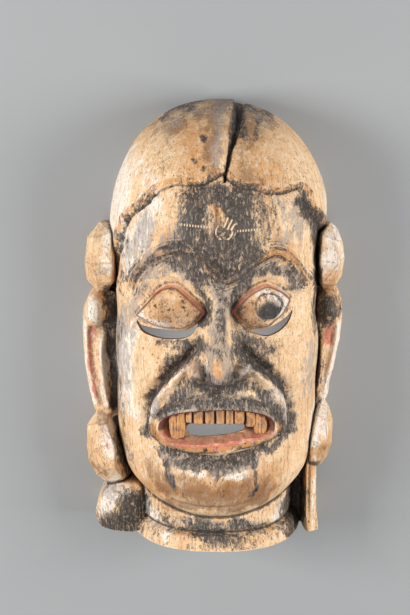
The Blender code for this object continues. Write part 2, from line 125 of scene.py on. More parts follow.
SLITS = (
    ((-74, 9), (-69, 3), (-62, 0.5), (-55, -1), (-47, -2), (-38, -2), (-29, -1), (-22, 2), (-17, 8)),
    ((70, 19), (67, 13), (62, 8), (56, 4), (49, 1), (41, 0.5), (33, 2)),
)
CHEEK_FOLDS = (
    ((-24, -27), (-32, -36), (-41, -47), (-49, -57), (-55, -68), (-57, -81), (-58, -93), (-55, -105)),
    ((22, -25), (32, -33), (43, -43), (50, -51), (57, -61), (60, -72), (61, -84), (59, -95), (54, -104)),
)
CHEEK_GROOVES = (
    (
        (-16, -3), (-21, -14), (-30, -25), (-41, -34), (-49, -44), (-57, -54), (-62, -64), (-65, -74),
        (-67, -85), (-66, -96), (-62, -106),
    ),
    (
        (19, -3), (26, -15), (37, -26), (46, -34), (56, -43), (62, -52), (66, -62), (68, -73), (68, -85),
        (66, -96), (62, -106),
    ),
)
LIPS = (
    (-55, -88), (-51, -76), (-42, -67), (-29, -60), (-15, -56), (3, -54), (22, -57), (38, -63), (49, -72),
    (56, -84), (54, -95), (46, -101), (31, -107), (14, -111), (-1, -112), (-17, -112), (-33, -109),
    (-45, -104), (-52, -97),
)
MOUTH = (
    (-49, -87), (-44, -79), (-38, -75), (-29, -72), (-15, -70), (-1, -69), (14, -69), (29, -71), (38, -74),
    (45, -78), (49, -85), (47, -92), (38, -94), (26, -95), (13, -97), (-1, -99), (-15, -100), (-27, -100),
    (-41, -100), (-47, -96),
)
LIP_GROOVE = (
    (-46, -108), (-33, -112), (-15, -116), (-1, -116), (13, -115), (26, -112), (38, -108), (50, -102),
)
CHIN_CREASE = ((-56, -156), (-48, -164), (-29, -168), (0, -169), (20, -167), (38, -160))
MOUTH_RINGS = (
    ((44, -66), (53, -72), (58, -82), (57, -94)),
    ((-44, -65), (-52, -73), (-56, -84)),
)

# Teeth: middle across the mouth, half width, lower end
TEETH_TOP = -69.5
SMALL_TEETH = (
    (-24.5, 2.8, -83), (-16, 4.3, -84), (-6, 4.2, -84), (3.5, 3.8, -84), (11.8, 3.5, -84), (20.6, 4.4, -84),
    (30.8, 4.2, -87),
)
FANGS = {
    "left": (
        (-43, -72), (-36, -71), (-29.5, -72.5), (-28.5, -84), (-29, -95), (-33, -98.5), (-40, -98), (-43, -90),
    ),
    "right": ((36, -72.5), (41, -73), (46, -77), (46.5, -88), (44, -96), (39, -97.5), (35, -95), (35, -84)),
}

# The nose: station down the ridge, half width there and share of its full reach
NOSE_X = 2.5
NOSE_STATIONS = (
    (50, 9, 0.0), (42, 11, 0.14), (30, 12, 0.28), (10, 14, 0.50), (-8, 18, 0.72), (-22, 22, 0.93),
    (-32, 23, 1.0), (-38, 22, 0.92), (-43, 19, 0.50), (-47, 16, 0.08), (-51, 13, 0.0),
)
NOSTRILS = ((-15, -34), (20, -32))
NOSE_HOLLOW = 13.0

# What stands beside the face: closed outlines seen from the front, and faceted plugs as a middle
# outline with the points of their front facets
PLUG_MIDDLE = 32.0
PLUGS = {
    "upper_left": (
        (
            (-111, 91), (-101, 87), (-95, 73), (-95, 38), (-104, 23), (-115, 23.5), (-124, 34), (-126, 52),
            (-123, 76),
        ),
        ((-116, 79, 54), (-99, 83, 55), (-118, 54, 60), (-97, 56, 66), (-112, 34, 52), (-99, 36, 56)),
    ),
    "upper_right": (
        (
            (108, 90), (115, 84), (120.5, 71), (122.5, 56), (119.5, 38), (113.5, 28.5), (101, 27), (96, 36),
            (95, 76),
        ),
        ((99, 82, 56), (112, 76, 55), (97, 58, 64), (115, 55, 60), (100, 35, 54), (111, 39, 52)),
    ),
    "lower_left": (
        (
            (-116, -95), (-105, -98), (-97, -114), (-89, -137), (-83, -158), (-92, -170), (-105, -170),
            (-117, -161), (-125, -146), (-127, -131), (-126.5, -110),
        ),
        (
            (-115, -103, 54), (-105, -104, 55), (-118, -127, 60), (-98, -119, 66), (-97, -142, 68),
            (-111, -150, 58), (-90, -156, 58), (-100, -163, 50),
        ),
    ),
    "lower_right": (
        (
            (102, -83), (109, -89), (113.5, -104), (113, -127), (108, -142), (99.5, -151.5), (90, -149),
            (87, -138), (90, -104),
        ),
        ((97, -93, 56), (106, -100, 54), (91, -116, 66), (106, -122, 60), (90, -139, 58), (101, -140, 54)),
    ),
}
EARS = {
    "left": (
        (
            (-127, 8), (-121, 20), (-112, 23.5), (-100, 22), (-88, 12), (-86, -30), (-86, -75), (-96, -100),
            (-114, -101), (-122.5, -79), (-127, -52), (-129, -27), (-129, -6),
        ),
        ((-123, 12), (-125, -6), (-125.5, -27), (-123, -52), (-118.5, -77), (-112, -95)),
        ((-109, -19), (-111, -34), (-110, -56), (-107, -80), (-103, -94)),
        (-116, 6),
    ),
    "right": (
        (
            (88, 17), (96, 27), (108, 29.5), (118, 21), (120.5, 3), (120, -13), (117, -33), (112, -58),
            (106, -85), (98, -93), (88, -86), (84, -30),
        ),
        ((116, 0), (117, -13), (114, -33), (109, -58), (103, -83)),
        ((103, -20), (102, -34), (100, -56), (97, -80)),
        (106, 9),
    ),
}
LOCK = (
    (-101, -163), (-88, -162), (-72, -166), (-66, -190), (-72, -214), (-96, -217), (-108, -214), (-116, -206),
    (-118, -194), (-113, -179),
)
STUB = ((68, -128), (90, -128), (96.5, -138), (97, -180), (97, -220), (68, -220))
STUB_GROOVES = (89.5, 93.5)

# Paint, as strokes: half width, weight and the points that the stroke runs through
BLACK = (
    (13.4, 0.98, ((-19, 124), (-19, 100), (-18, 74))),
    (15.0, 0.98, ((21, 122), (21, 101), (18, 73))),
    (7.0, 0.9, ((3, 86), (2, 76), (1, 66))),
    (4.0, 0.85, ((4, 130), (8, 112))),
    (4.0, 0.55, ((-10, 130), (2, 131), (14, 128))),
    (11.0, 0.66, ((-30, 76), (-1, 74), (32, 76))),
    (8.4, 0.30, ((48, 121), (54, 101), (50, 86))),
    (10.2, 0.96, ((-12, 62), (5, 57), (24, 63))),
    (4.6, 0.9, ((-18, 49), (-11, 34), (-10, 11))),
    (3.0, 0.50, ((40, 116), (42, 100), (44, 90))),
    (5.6, 0.96, ((27, 47), (18, 36), (15, 27))),
    (6.5, 0.62, ((-40, 66), (-26, 62), (-11, 49))),
    (5.5, 0.42, ((25, 53), (41, 59), (58, 57), (73, 42))),
    (4.0, 0.3, ((30, 67), (48, 71), (63, 66), (75, 54), (81, 41))),
    (3.7, 0.48, ((-77, 46), (-62, 62), (-47, 71))),
    (1.9, 0.75, ((-44, 79), (-33, 83), (-22, 82), (-13, 73))),
    (5.6, 0.55, ((-53, -9), (-33, -9), (-17, -8))),
    (8.4, 1.0, ((-15, -9), (-28, -21), (-42, -31))),
    (5.2, 0.95, ((-47, -41), (-58, -58), (-64, -76), (-65, -99))),
    (9.0, 0.66, ((23, -3), (34, -10), (50, -14))),
    (7.4, 1.0, ((23, -12), (34, -25), (47, -35))),
    (5.2, 0.97, ((53, -42), (62, -57), (67, -74), (67, -95))),
    (5.1, 1.0, ((-20, -47), (1, -50), (23, -47))),
    (3.8, 0.85, ((-28, -51), (-40, -62), (-50, -77))),
    (3.8, 0.85, ((32, -49), (44, -59), (52, -70), (57, -86))),
    (3.0, 0.5, ((-20, -40), (-30, -46), (-42, -58))),
    (3.0, 0.5, ((24, -38), (36, -46), (48, -58))),
    (7.4, 0.40, ((-31, -63), (-1, -59), (29, -64))),
    (4.5, 0.40, ((-47, -79), (-28, -68), (0, -66), (28, -68), (47, -78))),
    # the next two: black above the eyes, partly paint and partly painted shade in the sockets under the brows
    (4.0, 0.20, ((-72, 34), (-60, 50), (-40, 57), (-22, 50))),
    (4.0, 0.30, ((22, 44), (40, 57), (60, 54), (76, 36))),
    (4.2, 0.97, ((-46, -109), (-24, -115), (-1, -117), (26, -113), (46, -104))),
    (6.5, 0.7, ((-35, -122), (-1, -123), (31, -120))),
    (4.7, 0.5, ((-52, -107), (-47, -120), (-43, -137))),
    (5.6, 0.8, ((44, -110), (55, -103), (61, -94))),
    (2.2, 0.97, ((-44, -119), (-43, -134), (-38, -150))),
    (2.4, 0.97, ((36, -117), (35, -134), (37, -146), (32, -155))),
    (1.8, 0.7, ((-50, -112), (-50, -126))),
    (2.0, 0.6, ((1, -126), (2, -136))),
    (8.0, 0.5, ((-15, -196), (18, -199))),
    (9.0, 0.3, ((-66, -184), (-40, -190), (50, -190), (70, -184))),
    (4.5, 0.55, ((-26, -186), (-8, -188))),
    (4.5, 0.6, ((14, -186), (27, -185))),
    (5.1, 0.95, ((74, 116), (82, 104), (91, 87), (94, 54), (95, 26))),
    (3.3, 0.6, ((91, 19), (93, -13))),
    (3.7, 0.34, ((-82, 80), (-89, 57), (-92, 26))),
    (6.5, 0.4, ((-91, -1), (-94, -61), (-88, -106), (-80, -138))),
    (3.0, 0.35, ((-37, 196), (-11, 202), (13, 200))),
    (2.2, 0.45, ((-48, 184), (-35, 193), (-23, 198))),
    (4.7, 0.35, ((26, 197), (45, 190))),
    (3.4, 0.6, ((20, 193), (20, 182), (24, 172))),
    (3.0, 0.45, ((34, 184), (32, 172))),
    (2.8, 0.9, ((-11, 170), (-10, 169))),
    (3.2, 0.97, ((-18, 154), (-17, 153))),
    (2.0, 0.6, ((-11, 148), (-11, 146))),
    (1.6, 0.7, ((17, 200), (14, 182), (11, 166), (9, 150))),
    # black down the right flank of the nose, partly paint and partly painted shade of the side turned from the
    # key light
    (4.7, 0.42, ((17, 33), (19, -14))),
    (5.4, 0.46, ((4, 46), (3, 14), (3, -10))),
    (5.0, 0.6, ((-6, -40), (3, -44), (12, -40))),
    (9.0, 0.36, ((-12, -30), (3, -38), (18, -30))),
    (3.4, 1.0, ((-11, 20), (-14, 9))),
    (10.0, 0.18, ((-40, 186), (-14, 196), (14, 197), (42, 186))),
)
DEEP = (
    (12.0, 0.62, ((-19, 118), (-19, 80))),
    (13.5, 0.62, ((21, 116), (20, 80))),
    (6.0, 0.5, ((6, 118), (4, 84))),
    (4.4, 0.95, ((40, -26), (54, -44), (63, -60), (67, -76), (66, -94))),
    (3.6, 0.85, ((-30, -23), (-46, -42), (-58, -60), (-64, -78), (-63, -94))),
    (6.0, 0.8, ((22, -12), (34, -25))),
    (5.0, 0.7, ((-18, -12), (-30, -23))),
    (4.4, 1.0, ((-20, -47), (1, -51), (23, -47))),
    (3.0, 0.95, ((-44, -110), (-24, -115), (-1, -117), (26, -113), (44, -105))),
    (5.4, 1.0, ((72, 119), (80, 107), (90, 90), (93, 70))),
    (3.6, 0.9, ((-11, 22), (-13, 9))),
    (4.2, 0.8, ((-10, 62), (5, 57), (22, 62))),
    (3.0, 0.7, ((14, 30), (17, 20))),
)
BESIDE_BLACK = (
    (6.5, 1.0, ((-101, 24), (-101, -16))),
    (4.0, 0.75, ((-101, -20), (-100, -60), (-98, -98))),
    (6.5, 1.0, ((95, -14), (95, -50), (93, -84))),
    (12.0, 0.8, ((104, 14), (107, 2))),
    (11.0, 0.97, ((-78, -180), (-82, -196), (-90, -210), (-104, -212))),
    (8.0, 0.92, ((-94, -194), (-100, -204))),
    (8.5, 1.0, ((76, -135), (76, -215))),
    (3.0, 0.5, ((-97, -115), (-90, -140), (-86, -160))),
)
OCHRE = (
    (4.2, 0.85, ((-81, 36), (-71, 52), (-59, 65), (-46, 74))),
    (4.2, 0.8, ((26, 67), (41, 72), (57, 72), (69, 63), (80, 47))),
    (6.5, 0.85, ((-44, -32), (-54, -48), (-62, -68))),
    (17.0, 1.0, ((-66, -156), (-29, -150), (8, -148), (46, -145))),
    (11.2, 0.5, ((50, -130), (64, -114))),
    (8.4, 0.55, ((-44, 121), (-40, 104), (-46, 86))),
    (8.4, 0.6, ((43, 118), (52, 94), (63, 75))),
    (15.8, 0.8, ((-23, 182), (-15, 164), (-19, 146))),
    (18.6, 0.75, ((32, 165), (45, 145))),
    (3.9, 1.0, ((2, -16), (2, -33))),
    (6.5, 0.6, ((-18, -32), (-9, -40))),
    (13.0, 0.55, ((63, -18), (68, -57), (74, -98))),
    (3.7, 0.7, ((-51, -176), (-30, -183))),
    (4.5, 0.8, ((0, -183), (4, -184))),
    (4.5, 0.7, ((-34, -199), (-23, -198))),
    (3.7, 0.6, ((26, -205), (54, -199))),
    (15.0, 0.75, ((-50, 22), (-26, 24))),
    (8.0, 0.95, ((21, 20), (28, 22))),
    (9.0, 0.5, ((-122, 55), (-118, 36))),
    (8.0, 0.85, ((-120, -120), (-122, -142), (-110, -160))),
    (7.0, 0.7, ((112, 45), (108, 34))),
    (8.0, 0.8, ((108, -118), (103, -138))),
    (5.0, 0.6, ((-112, -195), (-106, -210))),
    (5.0, 0.8, ((90, -135), (90, -215))),
    (3.6, 0.9, ((0, 122), (-1, 106), (0, 92))),
    (9.0, 0.5, ((-50, -150), (-66, -130))),
)
PALE = (
    # painted highlight at the top of the right iris, in pale
    (5.0, 0.85, ((40, 35), (50, 36), (58, 31))),
    (15.8, 0.95, ((-89, 141), (-93, 116), (-94, 89))),
    (11.2, 0.5, ((-71, 151), (-61, 133))),
    (8.4, 0.6, ((92, 141), (100, 112), (100, 95))),
    (12.1, 0.7, ((-59, 113), (-72, 87), (-82, 60))),
    (12.1, 0.8, ((-86, -7), (-85, -45), (-83, -83))),
    (3.3, 0.7, ((-28, -33), (-42, -47), (-52, -62), (-58, -79), (-59, -88))),
    (3.3, 0.7, ((27, -29), (43, -43), (56, -60), (61, -79))),
    (3.7, 0.4, ((-15, -9), (-9, -37))),
    (4.2, 0.8, ((-31, -129), (-13, -131))),
    (4.2, 0.75, ((9, -131), (24, -130))),
    (8.0, 0.8, ((-70, -178), (-62, -190), (-48, -198))),
    (8.0, 0.7, ((66, -176), (57, -190))),
    (4.7, 0.6, ((-43, -74), (-24, -66))),
    (6.0, 0.95, ((-68, 14), (-58, 8), (-46, 7))),
    (6.0, 0.95, ((60, 34), (63, 26), (58, 15))),
    (7.0, 0.9, ((-119, 12), (-115, 0))),
    (4.0, 0.8, ((-126, -10), (-126, -40), (-119, -85))),
    (3.0, 0.5, ((-119, -20), (-119, -50), (-113, -84))),
    (3.5, 0.9, ((-109, -25), (-110, -56), (-105, -88))),
    (4.5, 0.9, ((117, -12), (112, -45), (105, -78))),
    (9.0, 0.95, ((-106, -106), (-102, -128))),
    (7.0, 0.5, ((-110, 74), (-104, 50))),
    (10.0, 0.95, ((112, 76), (106, 56))),
    (9.0, 0.95, ((100, -92), (95, -118))),
    (7.0, 0.6, ((-98, -158), (-108, -163))),
    (7.0, 0.95, ((-88, -169), (-102, -174), (-111, -192))),
    (1.6, 0.7, ((95, -135), (95, -215))),
)
RED = (
    (6.0, 0.62, ((-118, -10), (-120, -42), (-115, -80))),
    # painted highlight at the top of the right iris, in pink
    (3.0, 0.5, ((42, 33), (50, 35))),
    (5.0, 0.8, ((111, -8), (108, -26))),
    (3.0, 0.4, ((107, -45), (102, -62))),
    (3.7, 0.85, ((-37, -103), (-15, -104), (8, -103), (36, -99))),
    (4.0, 0.4, ((-62, 33), (-45, 40), (-30, 35))),
    # painted highlight at the top of the right iris, in pink
    (3.0, 0.5, ((38, 33), (45, 35))),
    (8.0, 0.34, ((110, 70), (104, 40))),
    (8.0, 0.3, ((101, -100), (96, -125))),
    (8.0, 0.3, ((-110, -104), (-103, -124))),
    (6.0, 0.3, ((-70, -180), (-66, -200))),
)
BROWN = (
    (12.0, 0.55, ((-52, 176), (-20, 190), (14, 192), (44, 182))),
    (5.0, 0.8, ((-2, 192), (-4, 168), (-6, 146))),
    (8.0, 0.5, ((14, 176), (20, 160), (26, 142))),
    (7.4, 0.7, ((27, 182), (30, 172))),
    (7.4, 0.5, ((21, 143), (37, 136))),
    (5.6, 0.9, ((-43, -171), (-1, -169), (43, -166))),
    (6.0, 0.8, ((-101, -20), (-100, -60), (-99, -96))),
    (9.5, 1.0, ((20, 20), (28, 16), (36, 10))),
    (8.0, 0.6, ((22, 24), (30, 24))),
    (13.0, 0.85, ((-42, 18), (-22, 18))),
    (17.0, 0.92, ((-44, -148), (0, -150), (44, -148))),
    (9.0, 0.5, ((-10, -36), (3, -41), (16, -36))),
    (10.0, 0.4, ((-66, -126), (-58, -140))),
    (5.0, 0.6, ((36, -88), (44, -92))),
    (5.0, 0.6, ((-118, -148), (-104, -150))),
    (1.8, 0.8, ((1, 124), (-1, 106), (0, 92))),
    (5.0, 0.5, ((108, -128), (96, -142))),
)
GREY = (
    (7.0, 0.95, ((4, 40), (3, 10), (3, -4))),
    (4.5, 0.9, ((-5, -10), (-6, -34))),
    (4.5, 0.9, ((10, -10), (11, -34))),
    (8.0, 0.8, ((-14, -36), (2, -43), (19, -34))),
    (6.0, 0.75, ((2, -36), (2, -44))),
    # the next two: grey film above the eyes, partly paint and partly painted shade in the sockets under the
    # brows
    (7.0, 0.6, ((-74, 30), (-60, 52), (-40, 60), (-20, 52))),
    (7.0, 0.6, ((22, 44), (40, 60), (62, 56), (78, 36))),
    (9.0, 0.6, ((52, -50), (64, -72), (64, -98))),
    (12.0, 0.6, ((-66, 92), (-60, 70), (-30, 100))),
    (10.0, 0.6, ((60, 118), (72, 96), (60, 84))),
    (8.5, 0.92, ((-47, -76), (-36, -67), (-2, -63), (32, -67), (47, -77))),
    (6.0, 0.5, ((-54, -60), (-60, -84), (-60, -100))),
    (7.0, 0.6, ((-40, -118), (0, -124), (36, -120))),
    (11.0, 0.7, ((-84, 14), (-83, -20), (-85, -56))),
    (4.5, 0.9, ((5, 196), (2, 177), (-1, 150))),
    (12.0, 0.42, ((-46, 182), (-14, 194), (16, 196), (40, 188))),
    (9.0, 0.6, ((-82, 44), (-74, 78), (-62, 104))),
    (12.0, 0.55, ((86, -20), (88, -60))),
    (6.0, 0.6, ((-30, -188), (40, -188))),
    (7.0, 0.7, ((-108, -172), (-98, -168))),
    (5.0, 0.7, ((-2, 129), (5, 120))),
    (6.0, 0.6, ((42, 30), (54, 30))),
    (8.0, 0.4, ((-108, 60), (-106, 40))),
)

# The sign on the brow: an open crescent and three flames, and a row of dashes on either side
CRESCENT_CENTRE, CRESCENT_RADIUS = (6.6, 94.6), 7.2
FLAMES = (
    ((6.4, 98.6), (8.2, 102.6), (9.8, 107.4)),
    ((9.6, 96.8), (11.6, 101.4), (13.6, 105.4)),
    ((12.6, 96.8), (14.6, 99.8), (17.4, 102.4)),
)
DASH_ROWS = ((-31.5, -5.5, 101.0, 99.0), (18.5, 41.0, 95.5, 96.5))
DASH_SPACING = 2.5

# Black beside the carved lines: field, distance from the line, reach and weight. The first, on the face just
# under the hairline's ledge, is black flecks and partly painted shadow of the ledge.
BLACK_LINES = (
    ("hair", -0.6, 1.9, 0.9), ("hair", 2.4, 2.6, 0.50), ("brow", 0.0, 1.6, 0.30), ("brow", 3.6, 2.0, 0.6),
    ("brow", 6.8, 1.0, 0.32), ("brow", 9.6, 1.0, 0.30), ("lid", 3.4, 2.0, 0.45), ("lip", 8.6, 2.8, 0.9),
    ("lip", 5.2, 2.2, 0.55), ("iris", 11.8, 2.4, 0.8),
)

MOUTH_MIDDLE = 0.0055  # in metres
PUPIL = np.array(((43.0, 20.0), (46.5, 22.8), (50.0, 20.2)))
KNOTS = ((-17.5, 153.5, 2.6), (-10.5, 169.5, 2.2), (-11, 147, 1.6), (2.2, -12.5, 1.5), (36, 181, 3.0))
built = {}


def tone(digits):
    """A colour written as six hex digits, in Blender's linear numbers."""
    parts = [int(digits[i:i + 2], 16) / 255 for i in (0, 2, 4)]
    return (*(p / 12.92 if p <= 0.04045 else ((p + 0.055) / 1.055) ** 2.4 for p in parts), 1.0)


def smoothed(points, closed=False, steps=6):
    """A Catmull-Rom line through the points."""
    p = np.array(points, float)
    if len(p) == 2:
        return p
    ends = (p[-1:], p[:2]) if closed else (2 * p[:1] - p[1:2], 2 * p[-1:] - p[-2:-1])
    p = np.vstack([ends[0], p, ends[1]])
    t = np.linspace(0, 1, steps + 1)[:-1, None]
    spans = [
        0.5 * (2 * b + (c - a) * t + (2 * a - 5 * b + 4 * c - d) * t**2 + (3 * b - a - 3 * c + d) * t**3)
        for a, b, c, d in zip(p, p[1:], p[2:], p[3:])
    ]
    return np.vstack([*spans, p[-2:-1]])


def distance(line, x, y):
    """Distance of each place to a line, and how far along the line its nearest point is, from 0 to 1."""
    best = np.full(x.shape, 1e9)
    along = np.zeros(x.shape)
    spans = len(line) - 1
    for i, (a, b) in enumerate(zip(line, line[1:])):
        step = b - a
        t = np.clip(((x - a[0]) * step[0] + (y - a[1]) * step[1]) / max(step @ step, 1e-9), 0, 1)
        d = np.hypot(x - a[0] - t * step[0], y - a[1] - t * step[1])
        nearer = d < best
        best = np.where(nearer, d, best)
        along = np.where(nearer, (i + t) / spans, along)
    return best, along


def near(line, x, y, reach):
    """As distance, but worked out only within reach of the line's own box; farther places get the reach."""
    low = line.min(axis=0) - reach
    high = line.max(axis=0) + reach
    close = (x > low[0]) & (x < high[0]) & (y > low[1]) & (y < high[1])
    found = np.full(x.shape, float(reach))
    along = np.zeros(x.shape)
    if close.any():
        d, part = distance(line, x[close], y[close])
        found[close] = np.minimum(d, reach)
        along[close] = part
    return found, along


def inside(line, x, y):
    """True where a place lies inside the closed line."""
    crossings = np.zeros(x.shape, int)
    for a, b in zip(line, np.roll(line, -1, axis=0)):
        spans = (a[1] > y) != (b[1] > y)
        rise = b[1] - a[1] if b[1] != a[1] else 1e-9
        crossings += spans & (x < (b[0] - a[0]) * (y - a[1]) / rise + a[0])
    return crossings % 2 == 1


def ease(t):
    """0 below 0, 1 above 1, and smooth between."""
    t = np.clip(t, 0, 1)
    return t * t * (3 - 2 * t)


def bell(d, width):
    """1 at no distance, falling away smoothly over the width."""
    return np.exp(-((d / width) ** 2))


def bead(points, width, height, x, y, taper=0.12):
    """A raised line, or a groove where height is negative, that fades at both ends."""
    d, along = near(smoothed(points), x, y, width * 4)
    ends = ease(along / taper) * ease((1 - along) / taper)
    return height * ends * bell(d, width) * (d < width * 4)


def mound(centre, radii, height, x, y):
    """A soft round swelling, or a dip where height is negative."""
    d = ((x - centre[0]) / radii[0]) ** 2 + ((y - centre[1]) / radii[1]) ** 2
    return height * np.clip(1 - d, 0, None) ** 2


def pillow(outline, reach, height, x, y):
    """A swelling that rises from a closed outline over the given reach."""
    line = smoothed(outline, closed=True)
    d, _ = near(line, x, y, 60)
    rise = np.clip(d / reach, 0, 1)
    return np.where(inside(line, x, y), height * np.sqrt(1 - (1 - rise) ** 2), 0)


def unevenness(x, y, cell_x, cell_y, seed):
    """Smooth chance heights from -1 to 1, with the given cell sizes."""
    table = np.random.default_rng(seed).uniform(-1, 1, (256, 256))
    u = x / cell_x + 128.3
    v = y / cell_y + 128.7
    i = np.floor(u).astype(int)
    j = np.floor(v).astype(int)
    s = ease(u - i)
    t = ease(v - j)
    i0, i1, j0, j1 = i % 256, (i + 1) % 256, j % 256, (j + 1) % 256
    low = table[i0, j0] * (1 - s) + table[i1, j0] * s
    high = table[i0, j1] * (1 - s) + table[i1, j1] * s
    return low * (1 - t) + high * t


def scoops(x, y, cell_x, cell_y, seed):
    """Overlapping shallow cuts of a gouge: 0 in the middle of each, 1 on the ridges between them."""
    chance = np.random.default_rng(seed)
    off_x = chance.uniform(0.15, 0.85, (256, 256))
    off_y = chance.uniform(0.15, 0.85, (256, 256))
    u = x / cell_x + 100
    v = y / cell_y + 100
    i = np.floor(u).astype(int)
    j = np.floor(v).astype(int)
    nearest = np.full(x.shape, 9.0)
    for di in (-1, 0, 1):
        for dj in (-1, 0, 1):
            a = (i + di) % 256
            b = (j + dj) % 256
            d = (u - i - di - off_x[a, b]) ** 2 + (v - j - dj - off_y[a, b]) ** 2
            nearest = np.minimum(nearest, d)
    return np.clip(nearest, 0, 1)


def hair_side(x, y):
    """Signed distance to the hairline: over 0 on the scalp, under 0 on the face."""
    line = smoothed(HAIRLINE)
    d, _ = distance(line, x, y)
    face_side = np.vstack([line, [(140, 60), (140, -240), (-140, -240), (-140, 5)]])
    signed = np.where(inside(face_side, x, y), -d, d)
    return signed + 0.7 * unevenness(x, y, 4.5, 5, 6) + 0.4 * unevenness(x, y, 1.9, 2.2, 7)


def scalp(x, y):
    """The raised scalp with its hairline, and the split that runs up from it."""
    signed = hair_side(x, y)
    raised = 4.6 * ease((signed + 0.9) / 2.5) - 1.2 * bell(signed + 1.8, 1.2)
    raised = raised + 0.7 * bell(signed - 3.0, 1.4)
    gap, _ = near(smoothed(SPLIT), x + 1.0 * unevenness(x, y, 6, 9, 8), y, 60)
    width = np.interp(y, [p[0] for p in SPLIT_WIDTHS], [p[1] for p in SPLIT_WIDTHS])
    left = ease((signed - 2) / 10) * (x < np.interp(y, [p[1] for p in SPLIT], [p[0] for p in SPLIT]))
    ragged = width * (1 + 0.4 * unevenness(x, y, 3.5, 6, 5) + 0.25 * unevenness(x, y, 1.6, 3, 9))
    plank = bead(((3, 198), (-1, 178), (-3, 156), (-2, 142)), 5.5, 1.8, x, y)
    return raised + plank - 8.0 * bell(gap, ragged) + 2.5 * left * np.exp(-gap / 30)


def eyes(x, y):
    """Sockets, bulging eyeballs and their rims."""
    made = 0
    for lid, fold in zip(LIDS, EYE_FOLDS):
        middle = np.mean(lid, axis=0)
        made = made + mound((middle[0], middle[1] + 4), (48, 46), -11, x, y)
        made = made + bead(fold, 3.0, 3.2, x, y)
        line = smoothed(lid, closed=True)
        rim, _ = near(line, x, y, 12)
        within = inside(line, x, y)
        made = made + 2.4 * bell(rim, 1.5) + pillow(lid, 17, 13.0, x, y)
        made = made - 0.8 * bell(rim - 2.6, 1.0) * within
        made = made - 0.9 * bell(rim - 3.2, 1.6) * ~within
    iris, _ = near(smoothed(((33, 26), (36, 34), (43, 38), (51, 37), (57, 31), (59, 24), (55, 17))), x, y, 8)
    return made - 0.35 * bell(iris, 1.1)


def nose(x, y):
    """The long ridge, its tip and the two nostrils."""
    at = [s[0] for s in NOSE_STATIONS][::-1]
    half = np.interp(y, at, [s[1] for s in NOSE_STATIONS][::-1])
    share = np.interp(y, at, [s[2] for s in NOSE_STATIONS][::-1])
    side = np.clip(np.abs(x - NOSE_X) / half, 0, 1)
    crest = np.exp(-((np.abs(x - NOSE_X) / 8.0) ** 3))
    ridge = NOSE_REACH * share * (0.5 * crest + 0.5 * (1 - side**1.6) ** 1.6)
    wings = sum(mound(p, (12, 13), 15, x, y) for p in NOSTRILS)
    return np.maximum(ridge, wings)


def mouth(x, y):
    """Lips, the sunk mouth and the folds that frame them."""
    made = pillow(LIPS, 11, 7.5, x, y)
    line = smoothed(MOUTH, closed=True)
    d, _ = near(line, x, y, 30)
    made = made - 16 * ease(d / 1.8) * inside(line, x, y)
    made = made + 0.7 * bell(d - 1.6, 1.1) * ~inside(line, x, y)
    made = made + bead(LIP_GROOVE, 4.0, -3.6, x, y)
    for fold, groove in zip(CHEEK_FOLDS, CHEEK_GROOVES):
        made = made + bead(fold, 3.9, 6.2, x, y) + bead(groove, 3.8, -6.4, x, y)
    for ring in MOUTH_RINGS:
        made = made + bead(ring, 1.5, 1.0, x, y, taper=0.3)
    return made


def tool_marks(x, y, depth):
    """Shallow facets left by the knife, stretched along the grain, and a soft unevenness."""
    facets = scoops(x + 3 * unevenness(x, y, 23, 31, 3), y, 8, 17, 11) - 0.3
    swell = unevenness(x, y, 26, 34, 21) * 1.6 + unevenness(x, y, 9, 15, 22) * 0.6
    lines = unevenness(x, y, 1.6, 26, 23) * 0.30
    return depth * (facets * 0.7 + swell + lines)


def face(x, y, marks):
    """The whole carving of the front, as a height over the plain head."""
    made = scalp(x, y) + eyes(x, y) + mouth(x, y) + nose(x, y)
    made = made + bead(BROW, 3.6, 3.6, x, y) + bead(BROW, 9.0, 3.6, x, y)
    made = made + bead(FROWN, 5.0, -4.0, x, y, taper=0.4)
    off, _ = near(smoothed(BROW), x, y, 26)
    made = made + 0.55 * np.cos(off * 1.15) * bell(off - 9, 8)
    made = made + bead(CHIN_CREASE, 2.2, -2.0, x, y)
    made = made + mound((2, -142), (58, 34), 7, x, y) + mound((0, 108), (60, 40), 4, x, y)
    for cheek in ((-74, -30), (76, -28)):
        made = made + mound(cheek, (34, 44), 5, x, y)
    for knot_x, knot_y, radius in KNOTS:
        made = made - 1.3 * np.exp(-(((x - knot_x) ** 2 + ((y - knot_y) / 1.3) ** 2) / radius**2))
    quiet = 0.45 + 0.55 * ease((np.hypot((x - 2) / 62, (y + 12) / 92) - 0.75) / 0.5)
    return made + tool_marks(x, y, marks) * quiet


def back_of_nose(x, y):
    """What the hollow follows of the carving."""
    return mound((NOSE_X, -20), (30, 58), NOSE_HOLLOW, x, y)


def head_sizes(y, inset):
    """Half width and depth of the head at each station, with the inset taken off."""
    up = np.clip((y - CROWN_START) / (CROWN_REACH - inset), 0, 1)
    down = np.clip((CHIN_START - y) / (CHIN_REACH - inset), 0, 1)
    width = HALF_CHEEK + (HALF_SCALP - HALF_CHEEK) * ease(y / CROWN_START) - inset
    top = (1 - up**CROWN_POWER) ** (1 / CROWN_POWER)
    return width * top * (1 - down**3) ** (1 / 3), (FRONT - inset) * top * (1 - down**8) ** 0.125


def head_stations(rows, inset):
    """Rows from the chin's end to the crown: how many below, along and above the straight stretch."""
    chin = CHIN_START - (CHIN_REACH - inset) * np.sin(np.linspace(0, math.pi / 2, rows[0])[::-1])
    crown = CROWN_START + (CROWN_REACH - inset) * np.sin(np.linspace(0, math.pi / 2, rows[2]))
    return np.concatenate([chin, np.linspace(CHIN_START, CROWN_START, rows[1] + 2)[1:-1], crown])


